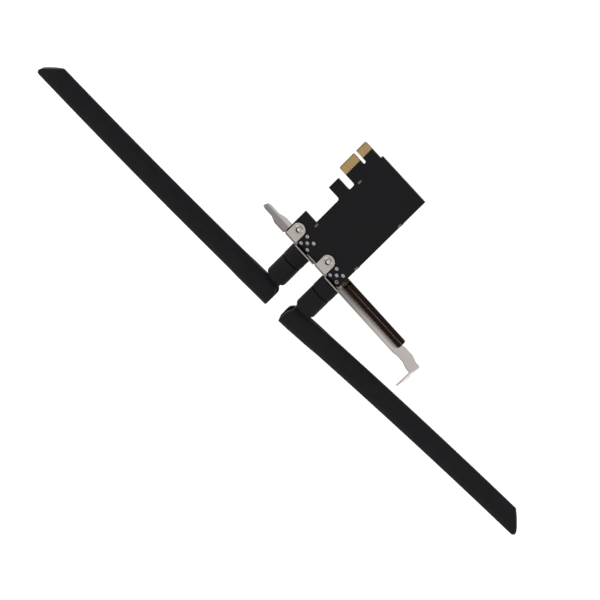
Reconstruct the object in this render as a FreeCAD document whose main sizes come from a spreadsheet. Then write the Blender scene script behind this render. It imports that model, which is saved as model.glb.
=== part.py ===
import FreeCAD, Part
import math
import os
import re
import Sketcher

os.makedirs("parts", exist_ok=True)
doc = FreeCAD.newDocument("WirelessCard")
dim = doc.addObject("Spreadsheet::Sheet", "Dim")

# Frame: the origin is on the middle line of the key notch, at the tip of the edge tongue and
# half way through the board. +X runs from the bracket into the board, +Y leaves the tongue
# towards the socket and +Z is the normal of the solder side.
SIZES = {
    # Circuit board
    "BoardThickness": 1.57,
    "BoardGap": 0.64,
    "BoardFar": 9.6,
    "BoardHeight": 45.24,
    "TongueNear": 12.15,
    "TongueFar": 8.15,
    "TongueDepth": 12.1,
    "TongueCorner": 0.5,
    "KeyNotchWidth": 1.9,
    "KeyNotchDepth": 8.2,
    "BevelLength": 1.0,
    "BevelDepth": 0.35,
    "SlotWidth": 4.3,
    "SlotDepth": 12.35,
    "SlotCorner": 1.1,
    "HookWidth": 7.4,
    "HookDrop": 3.65,
    "TabWidth": 15.35,
    "RecessCorner": 1.3,
    # Edge contacts
    "ContactPitch": 1.0,
    "ContactWidth": 0.7,
    "ContactLength": 4.4,
    "ContactMargin": 0.6,
    "ContactThickness": 0.04,
    # Bracket, folded from one sheet
    "KeyToPlate": 59.05,
    "SheetThickness": 0.86,
    "PlateWidth": 18.42,
    "BracketTop": 104.85,
    "BracketTip": 15.2,
    "BracketTongueWidth": 10.19,
    "BracketTongueLength": 7.45,
    "BracketTipCorner": 1.6,
    "NearStep": 1.7,
    "NearStepEnd": 11.35,
    "NearStepLength": 3.0,
    "FarStep": 0.9,
    "FarStepEnd": 13.35,
    "JogDepth": 1.3,
    "JogEnd": 3.35,
    "JogLength": 4.0,
    "FlangeReach": 11.43,
    "FlangeBend": 1.2,
    "ScrewNotchRadius": 2.2,
    "ScrewNotchReach": 6.2,
    "ScrewNotchDepth": 3.1,
    "StiffenerReach": 3.75,
    "StiffenerEnd": 15.05,
    "StiffenerStart": 9.0,
    "FoldRadius": 0.6,
    "JackHoleClearance": 0.12,
    # Ears and their screws
    "EarWidth": 7.7,
    "EarHoleReach": 7.1,
    "EarOffset": 8.3,
    "EarRelief": 0.9,
    "EarReliefDepth": 0.5,
    "CollarRadius": 2.1,
    "CollarHeight": 0.5,
    "ScrewRadius": 1.45,
    "ScrewClearance": 0.05,
    "BoardHoleClearance": 0.2,
    "ScrewHeadRadius": 2.75,
    "ScrewHeadHeight": 1.9,
    "ScrewRecess": 0.2,
    # Antenna jacks
    "JackLowerY": 16.71,
    "JackPitch": 23.38,
    "JackDepth": 7.3,
    "JackFaceGap": 0.05,
    "JackBlockLength": 8.4,
    "JackBlockWidth": 8.0,
    "JackBarrelRadius": 3.175,
    "JackReach": 9.0,
    "JackMouthDepth": 1.9,
    "JackBoreRadius": 2.07,
    "JackBoreInner": 4.7,
    "LegReach": 5.3,
    "LegSpread": 5.08,
    "LegWidth": 0.95,
    "LegClearance": 0.08,
    "JackPinRadius": 0.46,
    "JackPinCoreRadius": 0.64,
    "JackPinStickOut": 1.6,
    "ChimneyRadius": 1.3,
    "TailSpaceRadius": 0.95,
    "SolderRadius": 1.07,
    "SolderHeight": 0.5,
    # Heat sink and the parts on the component side
    "SinkX": 26.1,
    "SinkY": 29.1,
    "SinkLength": 36.0,
    "SinkWidth": 30.2,
    "SinkBase": 1.4,
    "SinkStandOff": 1.6,
    "FinThickness": 1.0,
    "FinHeight": 5.6,
    "TabSpreadX": 33.9,
    "TabSpreadY": 31.4,
    "TabLength": 2.0,
    "TabThickness": 0.7,
    "TabStandProud": 0.25,
    "TabClearance": 0.12,
    "ChipSide": 12.0,
    "ChipHeight": 0.9,
    "AmplifierSide": 3.0,
    "AmplifierHeight": 0.85,
    "AmplifierX": 46.9,
    "InductorSide": 5.0,
    "InductorHeight": 2.8,
    "InductorX": 1.2,
    "InductorY": 39.5,
    "RegulatorSide": 3.2,
    "RegulatorHeight": 0.9,
    "RegulatorX": 1.2,
    "RegulatorY": 32.5,
    "BulkLength": 3.5,
    "BulkWidth": 2.8,
    "BulkHeight": 1.9,
    "BulkX": 6.6,
    "BulkY": 40.6,
    "BulkPitch": 4.2,
    "CrystalLength": 3.2,
    "CrystalWidth": 2.5,
    "CrystalHeight": 0.8,
    "CrystalX": 5.6,
    "CrystalY": 27.4,
    "MemoryLength": 4.9,
    "MemoryWidth": 3.9,
    "MemoryHeight": 1.5,
    "MemoryX": 1.4,
    "MemoryY": 21.3,
    "LeadPitch": 1.27,
    "LeadWidth": 0.42,
    "LeadOut": 1.05,
    "LeadThickness": 0.2,
    "SmallLength": 1.0,
    "SmallWidth": 0.5,
    "SmallHeight": 0.5,
    "CouplingX": 2.05,
    "CouplingY": 12.6,
    "CouplingPitch": 1.5,
    "FilterX": 8.4,
    "FilterY": 16.5,
    "FilterPitch": 1.5,
    # Antennas, measured from the hinge pin
    "PivotReach": 31.66,
    "SwivelLower": 7.3,
    "SwivelUpper": 194.8,
    "KnuckleRadius": 6.4,
    "NutStart": 1.0,
    "NutEnd": 10.95,
    "NutWall": 1.2,
    "ThreadClearance": 0.1,
    "ShellRadius": 3.0,
    "ShellClearance": 0.05,
    "ShellFlange": 0.6,
    "FerruleRadius": 2.3,
    "FerruleClearance": 0.06,
    "PlugBoreRadius": 2.05,
    "SocketRadius": 0.66,
    "SocketClearance": 0.04,
    "PlugSeatGap": 0.06,
    "ShellSeat": 15.0,
    "BaseStart": 7.6,
    "BaseEnd": 20.2,
    "BaseShoulder": 1.6,
    "LugThickness": 5.0,
    "LugRadius": 4.6,
    "CheekGap": 0.12,
    "PinRadius": 1.2,
    "PinClearance": 0.05,
    "BladeRootEnd": 6.5,
    "BladeLength": 172.6,
    "BladeInnerLength": 161.2,
    "BladeRootWidth": 13.1,
    "BladeTipWidth": 12.5,
    "TipRadius": 2.0,
    "RootThickness": 10.6,
    "RootEdge": 6.4,
    "BladeThickness": 7.4,
    "TipThickness": 6.0,
    "BladeEdge": 2.2,
    "NeckStart": 8.0,
    "NeckEnd": 24.0,
    "TipMargin": 3.0,
    "BladeBow": 2.5,
    "RadiatorStart": 32.0,
    "RadiatorLength": 106.0,
    "RadiatorWidth": 7.6,
    "RadiatorThickness": 0.8,
    "RadiatorGap": 0.1,
    "RadiatorLift": 1.9,
}

for row, (alias, number) in enumerate(SIZES.items(), start=1):
    dim.set(f"A{row}", alias)
    dim.set(f"B{row}", str(number))
    dim.setAlias(f"B{row}", alias)
doc.recompute()

# Places that several pieces share, as expressions of the sheet
PLATE_X = "-KeyToPlate"
INNER_X = "(SheetThickness - KeyToPlate)"
NEAR_X = "(SheetThickness + BoardGap - KeyToPlate)"
SOLDER_Z = "(BoardThickness / 2)"
PART_Z = "(-BoardThickness / 2)"
AXIS_Z = "(BoardThickness / 2 - JackDepth)"
EAR_X = "(EarHoleReach - KeyToPlate)"
LEG_X = "(LegReach - KeyToPlate)"
JACKS = {"lower": "(-JackLowerY)", "upper": "(-JackLowerY - JackPitch)"}
EARS = {side: f"({y} + EarOffset)" for side, y in JACKS.items()}
SWIVELS = {"lower": "SwivelLower", "upper": "SwivelUpper"}
MOUTH_RADIUS = "(FerruleRadius + FerruleClearance)"
NUT_BORE = "(JackBarrelRadius + ThreadClearance)"
SOCKET_BORE = "(JackPinRadius + SocketClearance)"
BOARD_HOLE = "ScrewRadius + BoardHoleClearance"
LEG_HOLE = "(LegWidth + 2 * LegClearance)"
FIN_COUNT = 9
X_AXIS = FreeCAD.Vector(1, 0, 0)
Z_AXIS = FreeCAD.Vector(0, 0, 1)
ON_X = FreeCAD.Rotation(FreeCAD.Vector(0, 1, 0), 90)
ON_Y = FreeCAD.Rotation(FreeCAD.Vector(1, 0, 0), -90)
ON_Z = FreeCAD.Rotation()


def rule(text):
    """Point each size name of an expression at its cell."""
    return re.sub(r"\b[A-Z]\w+", lambda word: "Dim." + word.group(0), text)


def bind(item, **rules):
    """Bind properties to expressions, and the place when x, y or z is given."""
    for name, text in rules.items():
        path = f".Placement.Base.{name}" if name in "xyz" else name
        item.setExpression(path, rule(text))
    return item


def box(label, length, width, height, x="0", y="0", z="0"):
    """A box that is centred on x and y and stands on z."""
    item = doc.addObject("Part::Box", label)
    bind(item, Length=length, Width=width, Height=height)
    return bind(item, x=f"{x} - ({length}) / 2", y=f"{y} - ({width}) / 2", z=z)


def rod(label, radius, length, turn, x="0", y="0", z="0"):
    """A cylinder that starts at a point and runs along the turned Z axis."""
    item = doc.addObject("Part::Cylinder", label)
    item.Placement = FreeCAD.Placement(FreeCAD.Vector(), turn)
    return bind(item, Radius=radius, Height=length, x=x, y=y, z=z)


def joined(label, pieces):
    """One solid from pieces that touch."""
    item = doc.addObject("Part::MultiFuse", label)
    item.Shapes = pieces
    item.Refine = True
    return item


def group(label, pieces):
    """Separate solids that share one node."""
    item = doc.addObject("Part::Compound", label)
    item.Links = pieces
    return item


def cut(label, base, tools):
    """A piece less the tools."""
    item = doc.addObject("Part::Cut", label)
    item.Base = base
    item.Tool = tools[0] if len(tools) == 1 else joined(label + "_tools", tools)
    return item


def new_body(label):
    """An empty body with a label of its own."""
    return doc.addObject("PartDesign::Body", label)


def plane_sketch(body, label, role, lift="0"):
    """A sketch on a plane of the body, lifted along its normal."""
    sketch = body.newObject("Sketcher::SketchObject", label)
    plane = next(item for item in body.Origin.OriginFeatures if item.Role == role)
    sketch.AttachmentSupport = [(plane, "")]
    sketch.MapMode = "FlatFace"
    sketch.setExpression(".AttachmentOffset.Base.z", rule(lift))
    return sketch


def pin_point(sketch, edge, end, x, y, start):
    """Hold one point of a sketch at two expressions."""
    for kind, text, value in (("DistanceX", x, start.x), ("DistanceY", y, start.y)):
        index = sketch.addConstraint(Sketcher.Constraint(kind, -1, 1, edge, end, value))
        sketch.setExpression(f"Constraints[{index}]", rule(text))


def add_polygon(sketch, corners):
    """Add a closed run of lines whose corners, named or not, are held at expressions."""
    corners = list(corners.values()) if isinstance(corners, dict) else corners
    count = len(corners)
    first = sketch.GeometryCount
    turns = [2 * math.pi * index / count for index in range(count)]
    start = [FreeCAD.Vector(math.cos(turn), math.sin(turn), 0) for turn in turns]
    for index in range(count):
        line = Part.LineSegment(start[index], start[(index + 1) % count])
        sketch.addGeometry(line, False)
    for index in range(count):
        following = first + (index + 1) % count
        sketch.addConstraint(Sketcher.Constraint("Coincident", first + index, 2, following, 1))
    for index, (x, y) in enumerate(corners):
        pin_point(sketch, first + index, 1, x, y, start[index])
    return sketch


def add_circle(sketch, x, y, radius):
    """Add a circle whose centre and radius are held at expressions."""
    start = FreeCAD.Vector(1, 1, 0)
    index = sketch.addGeometry(Part.Circle(start, FreeCAD.Vector(0, 0, 1), 1), False)
    pin_point(sketch, index, 3, x, y, start)
    held = sketch.addConstraint(Sketcher.Constraint("Radius", index, 1))
    sketch.setExpression(f"Constraints[{held}]", rule(radius))


def pad(body, label, sketch, length, symmetric=False):
    """Raise a sketch along its normal, or to both sides of it."""
    item = body.newObject("PartDesign::Pad", label)
    item.Profile = sketch
    item.SideType = "Symmetric" if symmetric else "One side"
    return bind(item, Length=length)


def pocket(body, label, sketch):
    """Cut a sketch through the body, both ways."""
    item = body.newObject("PartDesign::Pocket", label)
    item.Profile = sketch
    item.Type = "ThroughAll"
    item.SideType = "Symmetric"
    return item


def turned(label, corners):
    """A body turned about its X axis from corners given as (x, radius)."""
    body = new_body(label)
    sketch = add_polygon(plane_sketch(body, label + "_profile", "XY_Plane"), corners)
    turn = body.newObject("PartDesign::Revolution", label + "_turn")
    turn.Profile = sketch
    axis = next(item for item in body.Origin.OriginFeatures if item.Role == "X_Axis")
    turn.ReferenceAxis = (axis, [""])
    turn.Angle = 360
    return body


def block_feature(body, kind, label, length, width, height, x, y, z):
    """A box feature that adds to or cuts from a body, from its low corner."""
    item = body.newObject(f"PartDesign::{kind}Box", label)
    bind(item, Length=length, Width=width, Height=height)
    return bind(item, x=x, y=y, z=z)


def rod_feature(body, kind, label, radius, length, turn, x, y, z):
    """A cylinder feature that adds to or cuts from a body."""
    item = body.newObject(f"PartDesign::{kind}Cylinder", label)
    item.Placement = FreeCAD.Placement(FreeCAD.Vector(), turn)
    return bind(item, Radius=radius, Height=length, x=x, y=y, z=z)


def corner_edges(solid, sketch, corners, *names):
    """Names of the straight edges that rise from named corners of a sketch."""
    doc.recompute()
    order = list(corners)
    along = sketch.Placement.Rotation.multVec(FreeCAD.Vector(0, 0, 1))
    found = []
    for name in names:
        point = sketch.Placement.multVec(sketch.Geometry[order.index(name)].StartPoint)
        for index, edge in enumerate(solid.Shape.Edges, start=1):
            if not isinstance(edge.Curve, Part.Line):
                continue
            start = edge.Vertexes[0].Point
            offset = start - point
            if edge.Curve.Direction.cross(along).Length < 1e-6 and offset.cross(along).Length < 1e-4:
                found.append(f"Edge{index}")
    return found


def leg_spots(x, y):
    """Where a jack's four legs and its contact's tail pass the board."""
    corners = [(f"{x} {a} LegSpread / 2", f"{y} {b} LegSpread / 2") for a in "+-" for b in "+-"]
    return [(x, y), *corners]


def dress(body, kind, label, base, edges, **rules):
    """Round or bevel edges of the last feature."""
    item = body.newObject(f"PartDesign::{kind}", label)
    item.Base = (base, edges)
    return bind(item, **rules)


# Circuit board
board = new_body("circuit_board")
HOOK_X = "-TongueNear - SlotWidth"
BOARD = {
    "near_top": (NEAR_X, "-BoardHeight"),
    "far_top": ("BoardFar", "-BoardHeight"),
    "far_low": ("BoardFar", "-TongueDepth"),
    "tongue_far_root": ("TongueFar", "-TongueDepth"),
    "tongue_far": ("TongueFar", "0"),
    "tongue_near": ("-TongueNear", "0"),
    "slot_end_far": ("-TongueNear", "-SlotDepth"),
    "slot_end_near": (HOOK_X, "-SlotDepth"),
    "hook_far": (HOOK_X, "-HookDrop"),
    "hook_near": (f"{HOOK_X} - HookWidth", "-HookDrop"),
    "recess_far": (f"{HOOK_X} - HookWidth", "-TongueDepth"),
    "recess_near": (f"{NEAR_X} + TabWidth", "-TongueDepth"),
    "tab_far": (f"{NEAR_X} + TabWidth", "-HookDrop"),
    "tab_near": (NEAR_X, "-HookDrop"),
}
outline = add_polygon(plane_sketch(board, "board_outline", "XY_Plane"), BOARD)
sheet_pad = pad(board, "board_sheet", outline, "BoardThickness", symmetric=True)
edges = corner_edges(sheet_pad, outline, BOARD, "tongue_far", "tongue_near")
last = dress(board, "Chamfer", "tongue_corners", sheet_pad, edges, Size="TongueCorner")
edges = corner_edges(last, outline, BOARD, "slot_end_far", "slot_end_near")
last = dress(board, "Fillet", "slot_corners", last, edges, Radius="SlotCorner")
edges = corner_edges(last, outline, BOARD, "recess_far")
last = dress(board, "Fillet", "recess_corner", last, edges, Radius="RecessCorner")
key = add_polygon(plane_sketch(board, "key_notch", "XY_Plane"), [
    ("KeyNotchWidth / 2", "BevelLength"),
    ("-KeyNotchWidth / 2", "BevelLength"),
    ("-KeyNotchWidth / 2", "KeyNotchWidth / 2 - KeyNotchDepth"),
    ("KeyNotchWidth / 2", "KeyNotchWidth / 2 - KeyNotchDepth"),
])
pocket(board, "key_cut", key)
rod_feature(board, "Subtractive", "key_end", "KeyNotchWidth / 2", "2 * BoardThickness", ON_Z,
            "0", "KeyNotchWidth / 2 - KeyNotchDepth", "-BoardThickness")
bevel = plane_sketch(board, "tip_bevel", "YZ_Plane")
for sign in ("", "-"):
    add_polygon(bevel, [
        ("-BevelLength", f"{sign}{SOLDER_Z}"),
        ("0", f"{sign}({SOLDER_Z} - BevelDepth)"),
        ("0", f"{sign}{SOLDER_Z}"),
    ])
pocket(board, "bevel_cut", bevel)
holes = plane_sketch(board, "board_holes", "XY_Plane")
for side, jack_y in JACKS.items():
    add_circle(holes, EAR_X, EARS[side], BOARD_HOLE)
pocket(board, "hole_cut", holes)
for side, jack_y in JACKS.items():
    for x, y in leg_spots(LEG_X, jack_y):
        block_feature(board, "Subtractive", f"{side}_leg_hole", LEG_HOLE, LEG_HOLE,
                      "2 * BoardThickness", f"{x} - {LEG_HOLE} / 2", f"{y} - {LEG_HOLE} / 2",
                      "-BoardThickness")
for x_name, x_sign in (("left", "-"), ("right", "+")):
    for y_name, y_sign in (("top", "-"), ("bottom", "+")):
        block_feature(
            board, "Subtractive", f"sink_slot_{x_name}_{y_name}",
            "TabLength + 2 * TabClearance", "TabThickness + 2 * TabClearance", "2 * BoardThickness",
            f"-SinkX {x_sign} TabSpreadX / 2 - TabLength / 2 - TabClearance",
            f"-SinkY {y_sign} TabSpreadY / 2 - TabThickness / 2 - TabClearance",
            "-BoardThickness")

# Edge contacts, on both faces of the tongue
contacts = []
CONTACT_RUNS = {"near": ("-", 11), "far": ("", 7)}
for face, contact_z in (("solder", SOLDER_Z), ("part", f"{PART_Z} - ContactThickness")):
    for run, (sign, count) in CONTACT_RUNS.items():
        for index in range(count):
            contacts.append(box(
                f"contact_{face}_{run}_{index}", "ContactWidth", "ContactLength", "ContactThickness",
                f"{sign}(KeyNotchWidth / 2 + ContactMargin + {index} * ContactPitch)",
                "-BevelLength - ContactLength / 2", contact_z))
group("edge_contacts", contacts)

# Bracket, folded from one sheet; its own origin is on the plate's outer face, level with the jacks
bracket = new_body("bracket")
HALF = "PlateWidth / 2"
FOLD = {
    "tip_outer": ("0", "BracketTip"),
    "jog_start_outer": ("0", "JogEnd + JogLength - BracketTop"),
    "jog_end_outer": ("-JogDepth", "JogEnd - BracketTop"),
    "flange_root": ("-JogDepth", "SheetThickness - BracketTop"),
    "flange_edge_low": ("-FlangeReach", "SheetThickness - BracketTop"),
    "flange_edge_top": ("-FlangeReach", "-BracketTop"),
    "flange_bend": ("SheetThickness - JogDepth", "-BracketTop"),
    "jog_end_inner": ("SheetThickness - JogDepth", "JogEnd - BracketTop"),
    "jog_start_inner": ("SheetThickness", "JogEnd + JogLength - BracketTop"),
    "tip_inner": ("SheetThickness", "BracketTip"),
}
side = add_polygon(plane_sketch(bracket, "bracket_side", "XY_Plane"), FOLD)
strip = pad(bracket, "folded_strip", side, "PlateWidth + 2 * FarStep", symmetric=True)
edges = corner_edges(strip, side, FOLD, "flange_bend")
bend = dress(bracket, "Fillet", "flange_bend", strip, edges, Radius="FlangeBend")
edges = corner_edges(bend, side, FOLD, "flange_root")
bend = dress(bracket, "Fillet", "flange_root", bend, edges, Radius="FlangeBend - SheetThickness")
shape = plane_sketch(bracket, "bracket_face", "YZ_Plane")
add_polygon(shape, [
    ("BracketTip + PlateWidth", "-PlateWidth"),
    ("BracketTip + PlateWidth", "PlateWidth"),
    ("-BracketTop - PlateWidth", "PlateWidth"),
    ("-BracketTop - PlateWidth", "-PlateWidth"),
])
SHOULDER_Y = "BracketTip - BracketTongueLength"
add_polygon(shape, [
    ("BracketTip", "BracketTongueWidth / 2 - BracketTipCorner"),
    ("BracketTip", "BracketTipCorner - BracketTongueWidth / 2"),
    ("BracketTip - BracketTipCorner", "-BracketTongueWidth / 2"),
    (SHOULDER_Y, "-BracketTongueWidth / 2"),
    (f"{SHOULDER_Y} - (PlateWidth - BracketTongueWidth) / 2", f"-{HALF}"),
    ("FarStepEnd + FarStep - BracketTop", f"-{HALF}"),
    ("FarStepEnd - BracketTop", f"-{HALF} - FarStep"),
    ("-BracketTop - SheetThickness", f"-{HALF} - FarStep"),
    ("-BracketTop - SheetThickness", f"{HALF} - NearStep"),
    ("NearStepEnd - BracketTop", f"{HALF} - NearStep"),
    ("NearStepEnd + NearStepLength - BracketTop", HALF),
    (f"{SHOULDER_Y} - (PlateWidth - BracketTongueWidth) / 2", HALF),
    (SHOULDER_Y, "BracketTongueWidth / 2"),
    ("BracketTip - BracketTipCorner", "BracketTongueWidth / 2"),
])
pocket(bracket, "trim", shape)
stiffener = block_feature(bracket, "Additive", "stiffener", "StiffenerReach",
                          "BracketTop - StiffenerEnd - StiffenerStart", "SheetThickness",
                          "0", "StiffenerEnd - BracketTop", f"-{HALF}")
for ear, ear_y in EARS.items():
    near = f"{ear_y} - EarWidth / 2"
    block_feature(bracket, "Subtractive", f"{ear}_relief", "2 * SheetThickness",
                  "EarWidth + 2 * EarRelief", "PlateWidth",
                  "-SheetThickness / 2", f"{near} - EarRelief", "JackDepth - EarReliefDepth")
    block_feature(bracket, "Additive", f"{ear}_ear_root", "SheetThickness", "EarWidth",
                  "SheetThickness + EarReliefDepth", "0", near, "JackDepth - EarReliefDepth")
    block_feature(bracket, "Additive", f"{ear}_ear", "EarHoleReach", "EarWidth", "SheetThickness",
                  "0", near, "JackDepth")
    rod_feature(bracket, "Additive", f"{ear}_ear_end", "EarWidth / 2", "SheetThickness", ON_Z,
                "EarHoleReach", ear_y, "JackDepth")
    rod_feature(bracket, "Additive", f"{ear}_collar", "CollarRadius",
                "SheetThickness + CollarHeight", ON_Z, "EarHoleReach", ear_y, "JackDepth")
    rod_feature(bracket, "Subtractive", f"{ear}_thread_hole", "ScrewRadius + ScrewClearance",
                "4 * SheetThickness", ON_Z, "EarHoleReach", ear_y, "JackDepth - SheetThickness")
for jack, jack_y in JACKS.items():
    rod_feature(bracket, "Subtractive", f"{jack}_jack_hole", "JackBarrelRadius + JackHoleClearance",
                "4 * SheetThickness", ON_X, "-2 * SheetThickness", jack_y, "0")
rod_feature(bracket, "Subtractive", "screw_notch_end", "ScrewNotchRadius", "6 * SheetThickness", ON_Y,
            "-ScrewNotchReach", "-BracketTop - 3 * SheetThickness",
            f"ScrewNotchDepth - {HALF} - FarStep")
block_feature(bracket, "Subtractive", "screw_notch", "2 * ScrewNotchRadius", "6 * SheetThickness",
              "ScrewNotchDepth + SheetThickness", "-ScrewNotchReach - ScrewNotchRadius",
              "-BracketTop - 3 * SheetThickness", f"-{HALF} - FarStep - SheetThickness")
bind(bracket, x=PLATE_X, z=AXIS_Z)

# Screws, driven from the component side into the ears
screws = []
SCREW_TOP = f"({SOLDER_Z} + SheetThickness + CollarHeight - ScrewRecess)"
for name, ear_y in EARS.items():
    shank = rod(f"{name}_shank", "ScrewRadius", f"{SCREW_TOP} - {PART_Z} + ScrewHeadHeight / 2", ON_Z,
                EAR_X, ear_y, f"{PART_Z} - ScrewHeadHeight / 2")
    head = rod(f"{name}_head", "ScrewHeadRadius", "ScrewHeadHeight", ON_Z,
               EAR_X, ear_y, f"{PART_Z} - ScrewHeadHeight")
    screws.append(joined(f"{name}_screw", [shank, head]))
group("ear_screws", screws)

# Antenna jacks; each has its origin on the jack's axis at the plate's outer face
for name, jack_y in JACKS.items():
    jack = turned(f"jack_body_{name}", [
        ("-JackReach", MOUTH_RADIUS),
        ("JackMouthDepth - JackReach", MOUTH_RADIUS),
        ("JackMouthDepth - JackReach", "JackBoreRadius"),
        ("JackBoreInner", "JackBoreRadius"),
        ("JackBoreInner", "JackBarrelRadius"),
        ("-JackReach", "JackBarrelRadius"),
    ])
    front = "SheetThickness + JackFaceGap"
    block_feature(jack, "Additive", f"{name}_block", "JackBlockLength", "JackBlockWidth",
                  "JackBlockWidth / 2 + JackDepth - BoardThickness",
                  front, "-JackBlockWidth / 2", "-JackBlockWidth / 2")
    rod_feature(jack, "Subtractive", f"{name}_bore", "JackBoreRadius", "JackBoreInner + JackReach",
                ON_X, "-JackReach", "0", "0")
    rod_feature(jack, "Subtractive", f"{name}_chimney", "ChimneyRadius", "JackDepth", ON_Z,
                "LegReach", "0", "0")
    rod_feature(jack, "Subtractive", f"{name}_tail_space", "TailSpaceRadius",
                "LegReach - JackBoreInner + TailSpaceRadius", ON_X, "JackBoreInner", "0", "0")
    for x, y in leg_spots("LegReach", "0")[1:]:
        block_feature(jack, "Additive", f"{name}_leg", "LegWidth", "LegWidth",
                      "BoardThickness + LegWidth", f"{x} - LegWidth / 2", f"{y} - LegWidth / 2",
                      "JackDepth - BoardThickness - LegWidth")
    bind(jack, x=PLATE_X, y=jack_y, z=AXIS_Z)

    insulator = turned(f"jack_insulator_{name}", [
        ("JackMouthDepth - JackReach", "JackPinCoreRadius"),
        ("JackBoreInner", "JackPinCoreRadius"),
        ("JackBoreInner", "JackBoreRadius"),
        ("JackMouthDepth - JackReach", "JackBoreRadius"),
    ])
    bind(insulator, x=PLATE_X, y=jack_y, z=AXIS_Z)

    contact = turned(f"jack_pin_{name}", [
        ("JackMouthDepth - JackReach - JackPinStickOut", "0"),
        ("JackMouthDepth - JackReach - JackPinStickOut", "JackPinRadius"),
        ("JackMouthDepth - JackReach", "JackPinRadius"),
        ("JackMouthDepth - JackReach", "JackPinCoreRadius"),
        ("LegReach + JackPinRadius", "JackPinCoreRadius"),
        ("LegReach + JackPinRadius", "0"),
    ])
    block_feature(contact, "Additive", f"{name}_tail", "LegWidth", "LegWidth", "JackDepth",
                  "LegReach - LegWidth / 2", "-LegWidth / 2", "0")
    bind(contact, x=PLATE_X, y=jack_y, z=AXIS_Z)

# Solder joints over the legs of the jacks
joints = []
for name, jack_y in JACKS.items():
    for x, y in leg_spots(LEG_X, jack_y):
        dome = doc.addObject("Part::Prism", "solder_dome")
        dome.Polygon = 12
        bind(dome, Circumradius="SolderRadius", Height="SolderHeight", x=x, y=y, z=SOLDER_Z)
        joints.append(dome)
group("solder_joints", joints)

# Heat sink with four tabs that pass through the board
BASE_TOP = f"({PART_Z} - SinkStandOff)"
sink_pieces = [box("sink_base", "SinkLength", "SinkWidth", "SinkBase", "-SinkX", "-SinkY",
                   f"{BASE_TOP} - SinkBase")]
for index in range(FIN_COUNT):
    sink_pieces.append(box(
        f"sink_fin_{index}", "SinkLength", "FinThickness", "FinHeight + SinkBase / 2", "-SinkX",
        f"-SinkY - SinkWidth / 2 + FinThickness / 2"
        f" + {index} * (SinkWidth - FinThickness) / {FIN_COUNT - 1}",
        f"{BASE_TOP} - SinkBase - FinHeight"))
for x_sign, y_sign in ("++", "+-", "-+", "--"):
    tab_x = f"-SinkX {x_sign} TabSpreadX / 2"
    tab_y = f"-SinkY {y_sign} TabSpreadY / 2"
    sink_pieces.append(box(
        "sink_tab", "TabLength", "TabThickness", "BoardThickness + SinkStandOff + SinkBase + TabStandProud",
        tab_x, tab_y, f"{BASE_TOP} - SinkBase"))
    sink_pieces.append(box(
        "sink_tab_root", "TabLength", "(TabSpreadY - SinkWidth) / 2 + TabThickness", "SinkBase", tab_x,
        f"-SinkY {y_sign} (TabSpreadY + SinkWidth) / 4", f"{BASE_TOP} - SinkBase"))
joined("heat_sink", sink_pieces)

# Parts on the component side; each hangs from the board's lower face
box("radio_chip", "ChipSide", "ChipSide", "ChipHeight", "-SinkX", "-SinkY", f"{PART_Z} - ChipHeight")
box("thermal_pad", "ChipSide", "ChipSide", "SinkStandOff - ChipHeight", "-SinkX", "-SinkY", BASE_TOP)
group("amplifier_chips", [
    box(f"amplifier_{name}", "AmplifierSide", "AmplifierSide", "AmplifierHeight",
        "-AmplifierX", jack_y, f"{PART_Z} - AmplifierHeight")
    for name, jack_y in JACKS.items()
])
coil = box("inductor_block", "InductorSide", "InductorSide", "InductorHeight", "InductorX",
           "-InductorY", f"{PART_Z} - InductorHeight")
inductor = doc.addObject("Part::Chamfer", "power_inductor")
inductor.Base = coil
doc.recompute()
upright = [index for index, edge in enumerate(coil.Shape.Edges, start=1)
           if abs(edge.tangentAt(edge.FirstParameter).z) > 0.9]
inductor.Edges = [(index, dim.InductorSide / 6, dim.InductorSide / 6) for index in upright]
box("regulator_chip", "RegulatorSide", "RegulatorSide", "RegulatorHeight", "RegulatorX",
    "-RegulatorY", f"{PART_Z} - RegulatorHeight")
group("bulk_capacitors", [
    box(f"bulk_capacitor_{index}", "BulkWidth", "BulkLength", "BulkHeight", "BulkX",
        f"-BulkY + {index} * BulkPitch", f"{PART_Z} - BulkHeight")
    for index in range(2)
])
box("crystal", "CrystalLength", "CrystalWidth", "CrystalHeight", "CrystalX", "-CrystalY",
    f"{PART_Z} - CrystalHeight")
memory = [box("memory_body", "MemoryLength", "MemoryWidth", "MemoryHeight - LeadThickness", "MemoryX",
              "-MemoryY", f"{PART_Z} - MemoryHeight")]
for index in range(4):
    memory.append(box(f"memory_lead_{index}", "LeadWidth", "MemoryWidth + 2 * LeadOut",
                      "LeadThickness", f"MemoryX + ({index} - 1.5) * LeadPitch", "-MemoryY",
                      f"{PART_Z} - LeadThickness"))
joined("memory_chip", memory)
group("coupling_capacitors", [
    box(f"coupling_{index}", "SmallWidth", "SmallLength", "SmallHeight",
        f"CouplingX + {index} * CouplingPitch", "-CouplingY", f"{PART_Z} - SmallHeight")
    for index in range(4)
])
group("filter_resistors", [
    box(f"filter_{index}", "SmallLength", "SmallWidth", "SmallHeight", "FilterX",
        f"-FilterY - {index} * FilterPitch", f"{PART_Z} - SmallHeight")
    for index in range(6)
])

# Antennas; each has its origin on the hinge pin, +X to the card and +Y along the folded blade
PLATE_AT = "PivotReach"
TIP_DROP = "(BladeLength - BladeInnerLength)"
TIP_LEAN = f"atan(BladeTipWidth / {TIP_DROP})"
TIP_SLOPE = f"sqrt({TIP_DROP} ^ 2 + BladeTipWidth ^ 2)"
TIP_CENTRE_X = "(TipRadius - BladeTipWidth / 2)"
TIP_CENTRE_Y = f"(BladeLength - TipRadius * ({TIP_DROP} + {TIP_SLOPE}) / BladeTipWidth)"
TIP_FLATS = 3


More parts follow.
